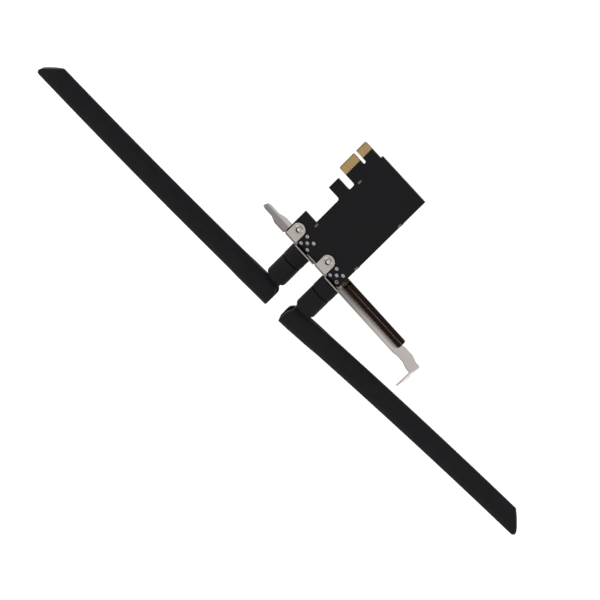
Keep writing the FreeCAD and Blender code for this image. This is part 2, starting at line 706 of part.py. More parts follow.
def seat(item, name):
    """Put a piece of an antenna in its place, turned about the jack's axis."""
    item.Placement = FreeCAD.Placement(FreeCAD.Vector(), FreeCAD.Rotation(X_AXIS, 1))
    item.setExpression(".Placement.Rotation.Angle", rule(SWIVELS[name]))
    return bind(item, x="-KeyToPlate - PivotReach", y=JACKS[name], z=AXIS_Z)


def section(width, thickness, edge, y, rise):
    """A closed section across the blade: two crowned faces joined by two flat edges."""
    left = -width / 2
    right = width / 2
    low = rise - edge / 2
    high = rise + edge / 2
    top = Part.Arc(FreeCAD.Vector(left, y, high), FreeCAD.Vector(0, y, rise + thickness / 2),
                   FreeCAD.Vector(right, y, high))
    far = Part.LineSegment(FreeCAD.Vector(right, y, high), FreeCAD.Vector(right, y, low))
    bottom = Part.Arc(FreeCAD.Vector(right, y, low), FreeCAD.Vector(0, y, rise - thickness / 2),
                      FreeCAD.Vector(left, y, low))
    near = Part.LineSegment(FreeCAD.Vector(left, y, low), FreeCAD.Vector(left, y, high))
    return Part.Wire([top.toShape(), far.toShape(), bottom.toShape(), near.toShape()])


def blade_blank():
    """The blade as one loft from its square root to its thin tip, bowed a little to one face."""
    sections = []
    straight = dim.BladeInnerLength - dim.TipMargin - dim.NeckEnd
    stations = [
        (-dim.BladeRootEnd, 0.0),
        (dim.NeckStart, 0.0),
        ((dim.NeckStart + dim.NeckEnd) / 2, 0.55),
        (dim.NeckEnd, 1.0),
        (dim.NeckEnd + straight / 4, 1.0),
        (dim.NeckEnd + straight / 2, 1.0),
        (dim.NeckEnd + straight * 3 / 4, 1.0),
        (dim.NeckEnd + straight, 1.0),
        (dim.BladeLength, 1.0),
    ]
    for y, slim in stations:
        along = max(y, 0.0) / dim.BladeLength
        body_thickness = dim.BladeThickness + (dim.TipThickness - dim.BladeThickness) * along
        width = dim.BladeRootWidth + (dim.BladeTipWidth - dim.BladeRootWidth) * along
        thickness = dim.RootThickness + (body_thickness - dim.RootThickness) * slim
        edge = dim.RootEdge + (dim.BladeEdge - dim.RootEdge) * slim
        rise = 4 * dim.BladeBow * along * (1 - along)
        sections.append(section(width, thickness, edge, y, rise))
    return Part.makeLoft(sections, True, True)


for name in JACKS:
    nut_in = f"{PLATE_AT} - NutStart"
    nut_out = f"{PLATE_AT} - NutEnd"
    nut = turned(f"coupling_nut_{name}", [
        (nut_out, "ShellRadius + ShellClearance"),
        (f"{nut_out} + NutWall", "ShellRadius + ShellClearance"),
        (f"{nut_out} + NutWall", NUT_BORE),
        (nut_in, NUT_BORE),
        (nut_in, "KnuckleRadius"),
        (nut_out, "KnuckleRadius"),
    ])
    seat(nut, name)

    seat_x = f"({PLATE_AT} - JackReach + JackMouthDepth - PlugSeatGap)"
    step_x = f"({PLATE_AT} - JackReach - PlugSeatGap)"
    shell = turned(f"plug_shell_{name}", [
        ("ShellSeat", "PlugBoreRadius"),
        (seat_x, "PlugBoreRadius"),
        (seat_x, "FerruleRadius"),
        (step_x, "FerruleRadius"),
        (step_x, "JackBarrelRadius"),
        (f"{step_x} - ShellFlange", "JackBarrelRadius"),
        (f"{step_x} - ShellFlange", "ShellRadius"),
        ("ShellSeat", "ShellRadius"),
    ])
    seat(shell, name)
    plug_insulator = turned(f"plug_insulator_{name}", [
        ("ShellSeat", "SocketRadius"),
        (seat_x, "SocketRadius"),
        (seat_x, "PlugBoreRadius"),
        ("ShellSeat", "PlugBoreRadius"),
    ])
    seat(plug_insulator, name)
    socket = turned(f"plug_socket_{name}", [
        ("ShellSeat", "0"),
        (f"{seat_x} - 2 * JackPinStickOut", "0"),
        (f"{seat_x} - 2 * JackPinStickOut", SOCKET_BORE),
        (seat_x, SOCKET_BORE),
        (seat_x, "SocketRadius"),
        ("ShellSeat", "SocketRadius"),
    ])
    seat(socket, name)

    base = turned(f"swivel_base_{name}", [
        ("BaseStart", "0"),
        ("BaseStart", "KnuckleRadius - BaseShoulder"),
        ("BaseStart + BaseShoulder / 3", "KnuckleRadius - BaseShoulder / 3"),
        ("BaseStart + BaseShoulder", "KnuckleRadius"),
        ("BaseEnd", "KnuckleRadius"),
        ("BaseEnd", "ShellRadius"),
        ("ShellSeat", "ShellRadius"),
        ("ShellSeat", "0"),
    ])
    block_feature(base, "Additive", f"{name}_lug", "BaseStart + BaseShoulder", "2 * LugRadius",
                  "LugThickness", "0", "-LugRadius", "-LugThickness / 2")
    rod_feature(base, "Additive", f"{name}_lug_end", "LugRadius", "LugThickness", ON_Z,
                "0", "0", "-LugThickness / 2")
    rod_feature(base, "Subtractive", f"{name}_pin_bore", "PinRadius", "2 * LugThickness", ON_Z,
                "0", "0", "-LugThickness")
    seat(base, name)

    pin = rod(f"hinge_pin_{name}_rod", "PinRadius", "RootThickness - 2 * CheekGap", ON_Z,
              z="CheekGap - RootThickness / 2")
    pin_piece = group(f"hinge_pin_{name}", [pin])
    seat(pin_piece, name)

    blank = doc.addObject("Part::Feature", f"{name}_blade_blank")
    blank.Shape = blade_blank()
    gap = "(LugThickness + 2 * CheekGap)"
    room = "(LugRadius + CheekGap)"
    tools = [
        rod(f"{name}_slot_round", room, gap, ON_Z, z=f"-{gap} / 2"),
        box(f"{name}_slot_side", "BladeRootWidth", f"2 * {room}", gap, "BladeRootWidth / 2", "0",
            f"-{gap} / 2"),
        box(f"{name}_slot_end", f"2 * {room}", "BladeRootWidth", gap, "0", "-BladeRootWidth / 2",
            f"-{gap} / 2"),
        box(f"{name}_slot_corner", "BladeRootWidth", "BladeRootWidth", gap, "BladeRootWidth / 2",
            "-BladeRootWidth / 2", f"-{gap} / 2"),
        rod(f"{name}_blade_bore", "PinRadius + PinClearance", "2 * RootThickness", ON_Z,
            z="-RootThickness"),
        box(f"{name}_cavity", "RadiatorWidth + 2 * RadiatorGap", "RadiatorLength + 2 * RadiatorGap",
            "RadiatorThickness + 2 * RadiatorGap", "0", "RadiatorStart + RadiatorLength / 2",
            "RadiatorLift - RadiatorThickness / 2 - RadiatorGap"),
    ]
    slant = doc.addObject("Part::Box", f"{name}_tip_cut")
    slant.Placement = FreeCAD.Placement(FreeCAD.Vector(), FreeCAD.Rotation(Z_AXIS, -40))
    bind(slant, Length="3 * BladeTipWidth", Width="BladeTipWidth", Height="2 * RootThickness",
         x="-BladeTipWidth * 3 / 4", y=f"BladeLength + {TIP_DROP} / 4", z="-RootThickness")
    slant.setExpression(".Placement.Rotation.Angle", rule(f"-atan({TIP_DROP} / BladeTipWidth)"))
    for step in range(1, TIP_FLATS + 1):
        turn = f"({TIP_LEAN} + (180 deg - {TIP_LEAN}) * {step} / {TIP_FLATS + 1})"
        flat = doc.addObject("Part::Box", f"{name}_tip_flat_{step}")
        flat.Placement = FreeCAD.Placement(FreeCAD.Vector(), FreeCAD.Rotation(Z_AXIS, 10 * step))
        bind(flat, Length="BladeTipWidth", Width="BladeTipWidth", Height="2 * RootThickness",
             x=f"{TIP_CENTRE_X} + TipRadius * cos({turn}) - BladeTipWidth / 2 * sin({turn})",
             y=f"{TIP_CENTRE_Y} + TipRadius * sin({turn}) + BladeTipWidth / 2 * cos({turn})",
             z="-RootThickness")
        flat.setExpression(".Placement.Rotation.Angle", rule(f"{turn} - 90 deg"))
        tools.append(flat)
    corner = box(f"{name}_corner", "BladeRootWidth", "BladeRootWidth", "2 * RootThickness",
                 "BladeRootWidth / 2", "-BladeRootWidth / 2", "-RootThickness")
    kept = rod(f"{name}_corner_kept", "BladeRootWidth / 2", "2 * RootThickness", ON_Z,
               z="-RootThickness")
    tools += [slant, cut(f"{name}_corner_cut", corner, [kept])]
    blade = cut(f"blade_{name}", blank, tools)
    seat(blade, name)

    strip_board = box(f"radiator_{name}_strip", "RadiatorWidth", "RadiatorLength", "RadiatorThickness",
                      "0", "RadiatorStart + RadiatorLength / 2", "RadiatorLift - RadiatorThickness / 2")
    radiator = group(f"radiator_{name}", [strip_board])
    seat(radiator, name)

NODES = ["circuit_board", "edge_contacts", "bracket", "ear_screws", "solder_joints", "heat_sink",
         "radio_chip", "thermal_pad", "amplifier_chips", "power_inductor", "regulator_chip",
         "bulk_capacitors", "crystal", "memory_chip", "coupling_capacitors", "filter_resistors"]
SIDED = ["jack_body", "jack_insulator", "jack_pin", "coupling_nut", "plug_shell", "plug_insulator",
         "plug_socket", "swivel_base", "hinge_pin", "blade", "radiator"]
NODES += [f"{kind}_{name}" for kind in SIDED for name in JACKS]

doc.recompute()
failed = [item.Name for item in doc.Objects if {"Invalid", "Error"} & set(item.State)]
if failed:
    raise RuntimeError(f"These objects failed: {failed}")
pieces = {label: doc.getObject(label) for label in NODES}
for label, piece in pieces.items():
    if piece.Shape.isNull() or not piece.Shape.isValid() or not piece.Shape.Solids:
        raise RuntimeError(f"{label} has no valid solid")
for label, piece in pieces.items():
    piece.Shape.exportStep(f"parts/{label}.step")
    print(label, len(piece.Shape.Solids), round(piece.Shape.Volume, 2))
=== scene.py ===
"""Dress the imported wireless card: its board, folded bracket, coaxial jacks and hinged antennas.

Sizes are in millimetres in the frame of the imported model, and a piece becomes metres when it is
finished. The origin is at the tip of the edge tongue, half way through the board. +X runs from
the bracket into the board, +Y leaves the tongue and +Z is the normal of the solder side.
"""

import functools
import logging
import math
from dataclasses import dataclass
from enum import Enum
from itertools import product

import bmesh
import bpy
from mathutils import Matrix, Vector


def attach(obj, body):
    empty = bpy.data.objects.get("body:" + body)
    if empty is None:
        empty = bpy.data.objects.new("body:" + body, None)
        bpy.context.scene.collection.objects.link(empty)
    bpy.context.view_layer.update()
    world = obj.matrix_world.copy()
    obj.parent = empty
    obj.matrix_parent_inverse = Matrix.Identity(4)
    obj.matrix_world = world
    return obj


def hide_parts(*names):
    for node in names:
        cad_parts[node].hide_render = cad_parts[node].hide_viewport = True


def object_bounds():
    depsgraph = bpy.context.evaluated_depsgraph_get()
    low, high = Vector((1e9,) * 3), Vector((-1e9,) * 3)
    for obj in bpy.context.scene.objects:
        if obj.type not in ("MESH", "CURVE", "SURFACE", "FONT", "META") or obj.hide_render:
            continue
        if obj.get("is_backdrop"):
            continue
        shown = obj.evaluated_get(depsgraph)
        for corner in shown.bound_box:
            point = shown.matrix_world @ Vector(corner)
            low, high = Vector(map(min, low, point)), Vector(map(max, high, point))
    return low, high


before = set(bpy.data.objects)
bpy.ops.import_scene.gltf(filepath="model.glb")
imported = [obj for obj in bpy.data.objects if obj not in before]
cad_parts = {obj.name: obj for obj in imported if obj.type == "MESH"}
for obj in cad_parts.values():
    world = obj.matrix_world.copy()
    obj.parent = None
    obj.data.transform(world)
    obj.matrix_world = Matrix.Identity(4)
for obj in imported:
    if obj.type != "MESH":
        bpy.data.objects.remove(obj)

CAD_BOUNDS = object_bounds()
MM = 0.001
BOARD = 1.57
PLATE_X = -59.05
JACKS = (-16.71, -40.09)
SIGNS = (-1, 1)
Colour = tuple[float, float, float]
Point = Vector | tuple[float, float, float]
Span = tuple[float, float]
Socket = bpy.types.NodeSocket
Edge = bmesh.types.BMEdge
Skin = bmesh.types.BMesh
log = logging.getLogger("wireless_card")


class Axis(Enum):
    """The axis that a turned shape is turned about."""

    X = Vector((1, 0, 0))
    Z = Vector((0, 0, 1))

    def point(self, along: float, radius: float) -> Vector:
        """Give the profile point at a distance along the axis and a radius from it."""
        return Vector((along, radius, 0)) if self is Axis.X else Vector((radius, 0, along))


class Side(Enum):
    """Which of the two antennas a piece belongs to."""

    LOWER = "lower"
    UPPER = "upper"


def wire(tree: bpy.types.NodeTree, kind: str, inputs: dict[str | int, Socket | float | Point],
         output: str | int = 0, **values: float | str) -> Socket:
    """Add a shader node.

    Args:
        tree: the nodes that it joins.
        kind: Blender's name for the node.
        inputs: sockets or constants for its inputs, by name or place.
        output: the output that is wanted, by name or place.
        values: the node's own properties, such as its operation.

    Returns:
        The socket of that output.
    """
    made = tree.nodes.new(kind)
    for name, value in values.items():
        setattr(made, name, value)
    for name, value in inputs.items():
        if isinstance(value, Socket):
            tree.links.new(value, made.inputs[name])
        else:
            made.inputs[name].default_value = value
    return made.outputs[output]


class Graph:
    """The shader nodes of one material, wired one by one."""

    def __init__(self, name: str) -> None:
        """Start a material with its principled shader.

        Args:
            name: the material's name.
        """
        self.material = bpy.data.materials.new(name)
        self.material.use_nodes = True
        self.tree = self.material.node_tree
        self.shader = self.tree.nodes["Principled BSDF"]
        self.wire = functools.partial(wire, self.tree)
        self.place = self.wire("ShaderNodeTexCoord", {}, "Object")

    def feed(self, name: str, source: Socket) -> None:
        """Join a socket to one of the shader's inputs."""
        self.tree.links.new(source, self.shader.inputs[name])

    def fed(self, name: str) -> Socket:
        """Give the socket that feeds one of the shader's inputs."""
        return self.shader.inputs[name].links[0].from_socket

    def along(self, axis: str, vector: Socket) -> Socket:
        """Give the number of a vector along an axis."""
        return self.wire("ShaderNodeSeparateXYZ", {"Vector": vector}, axis)

    def maths(self, operation: str, *values: Socket | float) -> Socket:
        """Work out a number from patterns and constants."""
        return self.wire("ShaderNodeMath", dict(enumerate(values)), operation=operation)

    def noise(self, scale: float, stretch: Point, detail: float = 3.0) -> Socket:
        """Add a noise pattern that lies in the piece, with a scale in grains per metre."""
        place = self.wire("ShaderNodeMapping", {"Vector": self.place, "Scale": stretch})
        return self.wire("ShaderNodeTexNoise", {"Vector": place, "Scale": scale, "Detail": detail})

    def between(self, value: Socket, low: float, high: float, start: float = 0.3, end: float = 0.7,
                kind: str = "LINEAR") -> Socket:
        """Map a pattern, from its values start and end to the numbers low and high."""
        limits = {"From Min": start, "From Max": end, "To Min": low, "To Max": high}
        return self.wire("ShaderNodeMapRange", {"Value": value, **limits}, interpolation_type=kind)

    def blend(self, factor: Socket, first: Colour | Socket, second: Colour) -> Socket:
        """Blend by a pattern from a first colour, or the socket of one, to a second colour."""
        start = (*first, 1) if isinstance(first, tuple) else first
        return self.wire("ShaderNodeMix", {0: factor, 6: start, 7: (*second, 1)}, 2, data_type="RGBA")

    def bump(self, height: Socket, depth: float, strength: float = 1.0) -> None:
        """Press a pattern into the surface, on top of any earlier one.

        Args:
            height: the pattern.
            depth: how deep the pattern goes, in millimetres.
            strength: how strongly it bends the light, from 0 to 1.
        """
        inputs = {"Height": height, "Distance": depth * MM, "Strength": strength}
        if self.shader.inputs["Normal"].is_linked:
            inputs["Normal"] = self.fed("Normal")
        self.feed("Normal", self.wire("ShaderNodeBump", inputs))


@dataclass(frozen=True)
class Finish:
    """A surface finish with a grain and a slight unevenness of its colour."""

    name: str
    colour: Colour
    roughness: float
    metallic: float = 0.0
    mottle: float = 0.12
    grain: float = 0.01
    grain_scale: float = 2500.0
    stretch: Point = (1.0, 1.0, 1.0)
    wear: float = 0.06
    specular: float = 0.5
    mottle_scale: float = 160.0

    @functools.cache
    def material(self) -> bpy.types.Material:
        """Build the material once.

        Returns:
            The material, shared by every piece with this finish.
        """
        graph = Graph(self.name)
        graph.shader.inputs["Metallic"].default_value = self.metallic
        graph.shader.inputs["Specular IOR Level"].default_value = self.specular
        self.dress(graph)
        return graph.material

    def dress(self, graph: Graph) -> None:
        """Wire the colour, the roughness and the grain.

        Args:
            graph: the material's nodes.
        """
        broad = graph.noise(self.mottle_scale, self.stretch, 2.0)
        fine = graph.noise(self.grain_scale, self.stretch)
        light = tuple(min(1.0, part * (1 + self.mottle)) for part in self.colour)
        dark = tuple(part * (1 - self.mottle) for part in self.colour)
        graph.feed("Base Color", graph.blend(graph.between(broad, 0.0, 1.0), dark, light))
        graph.feed("Roughness", graph.between(fine, self.roughness - self.wear, self.roughness + self.wear))
        graph.bump(fine, self.grain)


@dataclass(frozen=True)
class MaskedBoard(Finish):
    """Solder mask over copper tracks, with the laminate open at the board's edges."""

    laminate: Colour = (0.03, 0.024, 0.016)
    bare_edge: Colour = (0.24, 0.18, 0.08)
    bare_reach: float = 5.1
    bare_middle: float = -2.0
    bare_half: float = 10.6
    bare_fade: float = 0.04
    track_pitch: float = 1.6
    track_length: float = 5.3
    track_gap: float = 0.14
    track_depth: float = 0.012
    track_light: float = 1.25
    holes_per_metre: float = 260.0
    hole_depth: float = 0.02

    def dress(self, graph: Graph) -> None:
        """Wire the mask, its faint tracks and filled holes, and the sawn edges.

        Args:
            graph: the material's nodes.
        """
        super().dress(graph)
        tracks = graph.wire(
            "ShaderNodeTexBrick",
            {"Vector": graph.place, "Scale": 1.0, "Mortar Size": self.track_gap * MM, "Mortar Smooth": 0.3,
             "Brick Width": self.track_length * MM, "Row Height": self.track_pitch * MM},
            "Fac", offset=0.37, squash=1.7, squash_frequency=3)
        holes = graph.wire("ShaderNodeTexVoronoi", {"Vector": graph.place, "Scale": self.holes_per_metre},
                           "Distance", voronoi_dimensions="2D")
        graph.bump(tracks, self.track_depth, 0.5)
        graph.bump(graph.between(holes, 1.0, 0.0, 0.05, 0.09), self.hole_depth, 0.5)
        lit = tuple(part * self.track_light for part in self.colour)
        surface = graph.blend(graph.between(tracks, 0.0, 0.6, 0.0, 1.0), graph.fed("Base Color"), lit)
        facing = graph.along("Z", graph.wire("ShaderNodeNewGeometry", {}, "Normal"))
        sawn = graph.between(graph.maths("ABSOLUTE", facing), 1.0, 0.0, 0.15, 0.3)
        surface = graph.blend(sawn, surface, self.laminate)
        reach, half, fade = self.bare_reach * MM, self.bare_half * MM, self.bare_fade * MM
        tip = graph.between(graph.along("Y", graph.place), 0.0, 1.0, -reach, fade - reach)
        aside = graph.maths("SUBTRACT", graph.along("X", graph.place), self.bare_middle * MM)
        tongue = graph.between(graph.maths("ABSOLUTE", aside), 1.0, 0.0, half, fade + half)
        graph.feed("Base Color", graph.blend(graph.maths("MULTIPLY", tip, tongue), surface, self.bare_edge))


@dataclass(frozen=True)
class PlatedSheet(Finish):
    """Bright plating, with painted shade (a darker band that stands in for the fold's dark reflection) and a
    shallow bow on the inner face of the bracket's plate.
    """

    face: Span = (-58.7, -57.95)
    face_fade: float = 0.05
    glancing: Colour = (0.75, 0.745, 0.755)
    # Painted shade: the colour of a darker band low on the plate's inner face, standing in for the fold's
    # dark reflection.
    painted_fold_shade: Colour = (0.18, 0.163, 0.15)
    painted_shade_height: Span = (-10.0, -6.0)
    painted_shade_start: float = -82.0
    painted_shade_full: float = -46.0
    bow_depth: float = 0.25
    bow_height: Span = (-8.5, 0.5)
    bow_ends: Span = (-90.0, -45.5)
    bow_fade: float = 3.0
    worn: float = 0.2
    worn_fade: float = 2.0

    def dress(self, graph: Graph) -> None:
        """Wire the plating, the painted shade that fades to the open end and the bow, rubbed dull, above the
        rib.

        Args:
            graph: the material's nodes.
        """
        super().dress(graph)
        graph.shader.inputs["Specular Tint"].default_value = (*self.glancing, 1.0)
        place = {axis: graph.along(axis, graph.place) for axis in "XYZ"}

        def step(axis: str, start: float, end: float) -> Socket:
            """Rise from 0 to 1, softly, between two places along an axis."""
            return graph.between(place[axis], 0.0, 1.0, start * MM, end * MM, "SMOOTHSTEP")

        def all_of(*parts: Socket) -> Socket:
            """Multiply patterns."""
            return functools.reduce(functools.partial(graph.maths, "MULTIPLY"), parts)

        (back, front), fade = self.face, self.face_fade
        inner = all_of(step("X", back, back + fade), step("X", front + fade, front))
        # Painted shade: mask of the darker band on the inner face, which stands in for the fold's dark
        # reflection.
        painted_fold_shade = all_of(inner, step("Z", *self.painted_shade_height), step("Y", self.painted_shade_start, self.painted_shade_full))
        graph.feed("Base Color", graph.blend(painted_fold_shade, graph.fed("Base Color"), self.painted_fold_shade))
        (far, close), (low, high) = self.bow_ends, self.bow_height
        stretch = all_of(inner, step("Y", far - self.bow_fade, far + self.bow_fade),
                         step("Y", close, close - self.bow_fade / 2))
        graph.bump(all_of(stretch, step("Z", low, high), step("Z", high + 2.0, high + 0.5)), self.bow_depth)
        dull = all_of(stretch, step("Z", low, low + self.worn_fade))
        more = self.worn - self.roughness
        graph.feed("Roughness", graph.maths("MULTIPLY_ADD", dull, more, graph.fed("Roughness")))


class Paint(Enum):
    """Every finish on the card."""

    MASK = MaskedBoard("black_solder_mask", (0.005, 0.005, 0.0066), 0.46, grain=0.003, wear=0.04,
                       specular=0.13)
    GOLD = Finish("gold_plate", (0.50, 0.33, 0.16), 0.26, 1.0, 0.08, 0.002, 3000.0, (6, 1, 1))
    NICKEL = PlatedSheet("bright_nickel", (0.46, 0.43, 0.41), 0.055, 1.0, 0.04, 0.0002, 1800.0, (1, 0.08, 1),
                         0.01)
    SCREW = Finish("plated_screw", (0.66, 0.64, 0.60), 0.24, 1.0, 0.06, 0.002)
    SOLDER = Finish("tin_solder", (0.33, 0.325, 0.345), 0.5, 0.9, 0.12, 0.008, 1400.0)
    COPPER = Finish("copper_anodised", (0.245, 0.122, 0.108), 0.38, 0.8, 0.12, 0.003, 1500.0, (0.1, 1, 1))
    TINNED = Finish("tinned_copper", (0.125, 0.088, 0.095), 0.5, 0.3, 0.15, 0.004, specular=0.3)
    CHIP = Finish("chip_epoxy", (0.018, 0.018, 0.019), 0.55, grain=0.006)
    PAD = Finish("gap_pad", (0.30, 0.34, 0.38), 0.8, mottle=0.1)
    FERRITE = Finish("ferrite", (0.055, 0.055, 0.06), 0.7, grain=0.02, grain_scale=1800.0)
    TANTALUM = Finish("capacitor_epoxy", (0.30, 0.13, 0.02), 0.5)
    STRIPE = Finish("capacitor_stripe", (0.35, 0.26, 0.16), 0.5)
    CAN = Finish("crystal_can", (0.72, 0.70, 0.66), 0.3, 1.0, 0.05, 0.002)
    CERAMIC = Finish("fired_ceramic", (0.30, 0.20, 0.12), 0.55, grain=0.004)
    GLAZE = Finish("resistor_glaze", (0.02, 0.02, 0.024), 0.25, grain=0.002)
    BRASS = Finish("gilt_brass", (0.34, 0.22, 0.12), 0.28, 1.0, 0.08, 0.002)
    INSULATOR = Finish("white_insulator", (0.85, 0.85, 0.82), 0.4, mottle=0.04)
    PLASTIC = Finish("black_plastic", (0.0110, 0.0110, 0.0127), 0.52, mottle=0.10, grain=0.012,
                     grain_scale=3600.0, specular=0.05)
    PIN = Finish("black_pin", (0.0110, 0.0110, 0.0127), 0.4, specular=0.06)
    STRIP = Finish("printed_strip", (0.03, 0.09, 0.03), 0.5)

    def material(self) -> bpy.types.Material:
        """Give this finish's material."""
        return self.value.material()


def bevel(part: Skin, edges: list[Edge], width: float, segments: int = 2, clamp: bool = True) -> None:
    """Bevel edges of a bmesh, if clamped no wider than there is room for."""
    bmesh.ops.bevel(part, geom=edges, offset=width, segments=segments, profile=0.5, affect="EDGES",
                    clamp_overlap=clamp, material=-1)


def sharp_edges(part: Skin, angle: float = 32.0) -> list[Edge]:
    """List the edges of a bmesh that are sharper than an angle in degrees."""
    limit = math.radians(angle)
    return [edge for edge in part.edges if edge.is_manifold and edge.calc_face_angle() > limit]


def rise(edge: Edge) -> float:
    """Give how far an edge rises along Z."""
    return abs(edge.verts[0].co.z - edge.verts[1].co.z)


def near(value: float, *targets: float) -> bool:
    """Say whether a number lies within 0.03 of one of the targets."""
    return any(abs(value - target) < 0.03 for target in targets)


def corner_normals(part: Skin, angle: float) -> list[Vector]:
    """Work out the shading normals, in which a large face outweighs its bevels.

    Args:
        part: the bmesh.
        angle: faces that turn by more than this many degrees aren't blended.

    Returns:
        One normal for each corner of each face.
    """
    part.normal_update()
    limit = math.cos(math.radians(angle))
    areas = {face: face.calc_area() for face in part.faces}
    normals = []
    for face in part.faces:
        for corner in face.loops:
            total = Vector()
            for other in corner.vert.link_faces:
                if other.normal.dot(face.normal) > limit:
                    total += other.normal * areas[other]
            normals.append(total.normalized() if total.length else face.normal.copy())
    return normals


def add_object(name: str, data: bpy.types.ID) -> bpy.types.Object:
    """Put an object into the scene.

    Args:
        name: its name.
        data: its mesh, light or camera.

    Returns:
        The object.
    """
    made = bpy.data.objects.new(name, data)
    bpy.context.scene.collection.objects.link(made)
    return made


def meshed(part: Skin, name: str = "part") -> bpy.types.Mesh:
    """Turn a bmesh into a mesh.

    Args:
        part: the bmesh, which is used up.
        name: the mesh's name.

    Returns:
        The mesh.
    """
    mesh = bpy.data.meshes.new(name)
    part.to_mesh(mesh)
    part.free()
    return mesh


class Shape:
    """One piece of the model, shaped in millimetres with bmesh operators."""

    def __init__(self, name: str) -> None:
        """Start an empty piece."""
        self.name = name
        self.bm = bmesh.new()

    @classmethod
    def of_node(cls, name: str, node: str) -> "Shape":
        """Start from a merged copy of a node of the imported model.

        Args:
            name: the piece's name.
            node: the node that is copied.

        Returns:
            The new piece, with its flat faces whole again.
        """
        shape = cls(name)
        shape.bm.from_mesh(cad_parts[node].data)
        bmesh.ops.scale(shape.bm, vec=(1 / MM,) * 3, verts=shape.bm.verts)
        bmesh.ops.remove_doubles(shape.bm, verts=shape.bm.verts, dist=0.002)
        bmesh.ops.dissolve_limit(shape.bm, angle_limit=math.radians(0.6), verts=shape.bm.verts,
                                 edges=shape.bm.edges, use_dissolve_boundaries=False)
        return shape

    def block(self, size: Point, centre: Point, ease: float = 0.0, paint: int = 0) -> "Shape":
        """Add a box.

        Args:
            size: its three sides.
            centre: its middle.
            ease: width of the bevel on its edges.
            paint: which of the piece's finishes it takes.

        Returns:
            This piece.
        """
        part = bmesh.new()
        bmesh.ops.create_cube(part, size=1.0)
        bmesh.ops.scale(part, vec=size, verts=part.verts)
        if ease:
            bevel(part, part.edges[:], ease)
        bmesh.ops.translate(part, vec=centre, verts=part.verts)
        return self.take(part, paint)

    def turned(self, profile: list[Span], axis: Axis = Axis.X, centre: Point = (0, 0, 0), steps: int = 64,
               paint: int = 0) -> "Shape":
        """Add a shape turned about an axis.

        Args:
            profile: corners as distance along the axis and radius, from one end to the other.
            axis: the axis that it is turned about.
            centre: where the axis starts.
            steps: faces round the axis.
            paint: which of the piece's finishes it takes.

        Returns:
            This piece.
        """
        part = bmesh.new()
        corners = [part.verts.new(axis.point(along, radius)) for along, radius in profile]
        closed = profile[0] != profile[-1] and all(radius > 0 for _, radius in profile)
        ends = corners[1:] + (corners[:1] if closed else [])
        edges = [part.edges.new(pair) for pair in zip(corners, ends)]
        bmesh.ops.spin(part, geom=[*corners, *edges], cent=(0, 0, 0), axis=axis.value,
                       dvec=(0, 0, 0), angle=2 * math.pi, steps=steps, use_merge=True)
        bmesh.ops.remove_doubles(part, verts=part.verts, dist=1e-4)
        bmesh.ops.recalc_face_normals(part, faces=part.faces)
        bmesh.ops.translate(part, vec=centre, verts=part.verts)
        return self.take(part, paint)

    def drum(self, start: float, end: float, radius: float, steps: int, axis: Axis = Axis.Z,
             centre: Point = (0, 0, 0)) -> "Shape":
        """Add a plain cylinder between two places along an axis."""
        return self.turned([(start, 0), (start, radius), (end, radius), (end, 0)], axis, centre, steps)

    def thread(self, start: float, end: float, crest: float, depth: float, pitch: float,
               axis: Axis = Axis.X, centre: Point = (0, 0, 0)) -> "Shape":
        """Add a helical ridge.

        Args:
            start: where the ridge starts along the axis.
            end: where it ends.
            crest: radius of its crest.
            depth: height of the ridge.
            pitch: advance in one turn.
            axis: the axis that it winds round.
            centre: where the axis starts.

        Returns:
            This piece.
        """
        per_turn = 32
        turns = max(1.0, (end - start) / pitch - 1)
        part = bmesh.new()
        root = crest - depth
        outline = [(0.0, root), (pitch * 0.4, crest), (pitch * 0.6, crest), (pitch, root)]
        corners = [part.verts.new(axis.point(start + along, radius)) for along, radius in outline]
        face = part.faces.new(corners)
        bmesh.ops.spin(part, geom=[face, *face.edges, *face.verts], cent=(0, 0, 0), axis=axis.value,
                       dvec=axis.value * (pitch / per_turn), angle=2 * math.pi * turns,
                       steps=round(per_turn * turns), use_duplicate=False)
        bmesh.ops.recalc_face_normals(part, faces=part.faces)
        bmesh.ops.translate(part, vec=centre, verts=part.verts)
        return self.take(part)

    def take(self, part: Skin, paint: int = 0) -> "Shape":
        """Add a finished bmesh to this piece.

        Args:
            part: the bmesh, which is used up.
            paint: which of the piece's finishes it takes.

        Returns:
            This piece.
        """
        for face in part.faces:
            face.material_index = paint
        mesh = meshed(part)
        self.bm.from_mesh(mesh)
        bpy.data.meshes.remove(mesh)
        return self

    def combined(self, other: "Shape", operation: str) -> "Shape":
        """Cut another shape from this one or fuse the two.

        Args:
            other: the other shape, which is used up.
            operation: DIFFERENCE or UNION.

        Returns:
            This piece.
        """
        base, tool = (add_object("part", meshed(shape.bm)) for shape in (self, other))
        modifier = base.modifiers.new("cut", "BOOLEAN")
        modifier.operation = operation
        modifier.solver = "EXACT"
        modifier.object = tool
        evaluated = base.evaluated_get(bpy.context.evaluated_depsgraph_get())
        self.bm = bmesh.new()
        self.bm.from_mesh(evaluated.to_mesh())
        evaluated.to_mesh_clear()
        for made in (base, tool):
            mesh = made.data
            bpy.data.objects.remove(made)
            bpy.data.meshes.remove(mesh)
        bmesh.ops.remove_doubles(self.bm, verts=self.bm.verts, dist=0.004)
        bmesh.ops.dissolve_degenerate(self.bm, dist=0.004, edges=self.bm.edges)
        return self

    def cut(self, other: "Shape") -> "Shape":
        """Cut another shape from this one."""
        return self.combined(other, "DIFFERENCE")

    def fused(self, other: "Shape") -> "Shape":
        """Fuse another shape to this one."""
        return self.combined(other, "UNION")

    def dimpled(self, place: Point, radius: float) -> "Shape":
        """Sink the mark of a chip's first pin."""
        profile = [(-0.1, 0), (-0.1, radius), (0.1, radius + 0.05), (0.1, 0)]
        return self.cut(Shape("dimple").turned(profile, Axis.Z, place, 20))

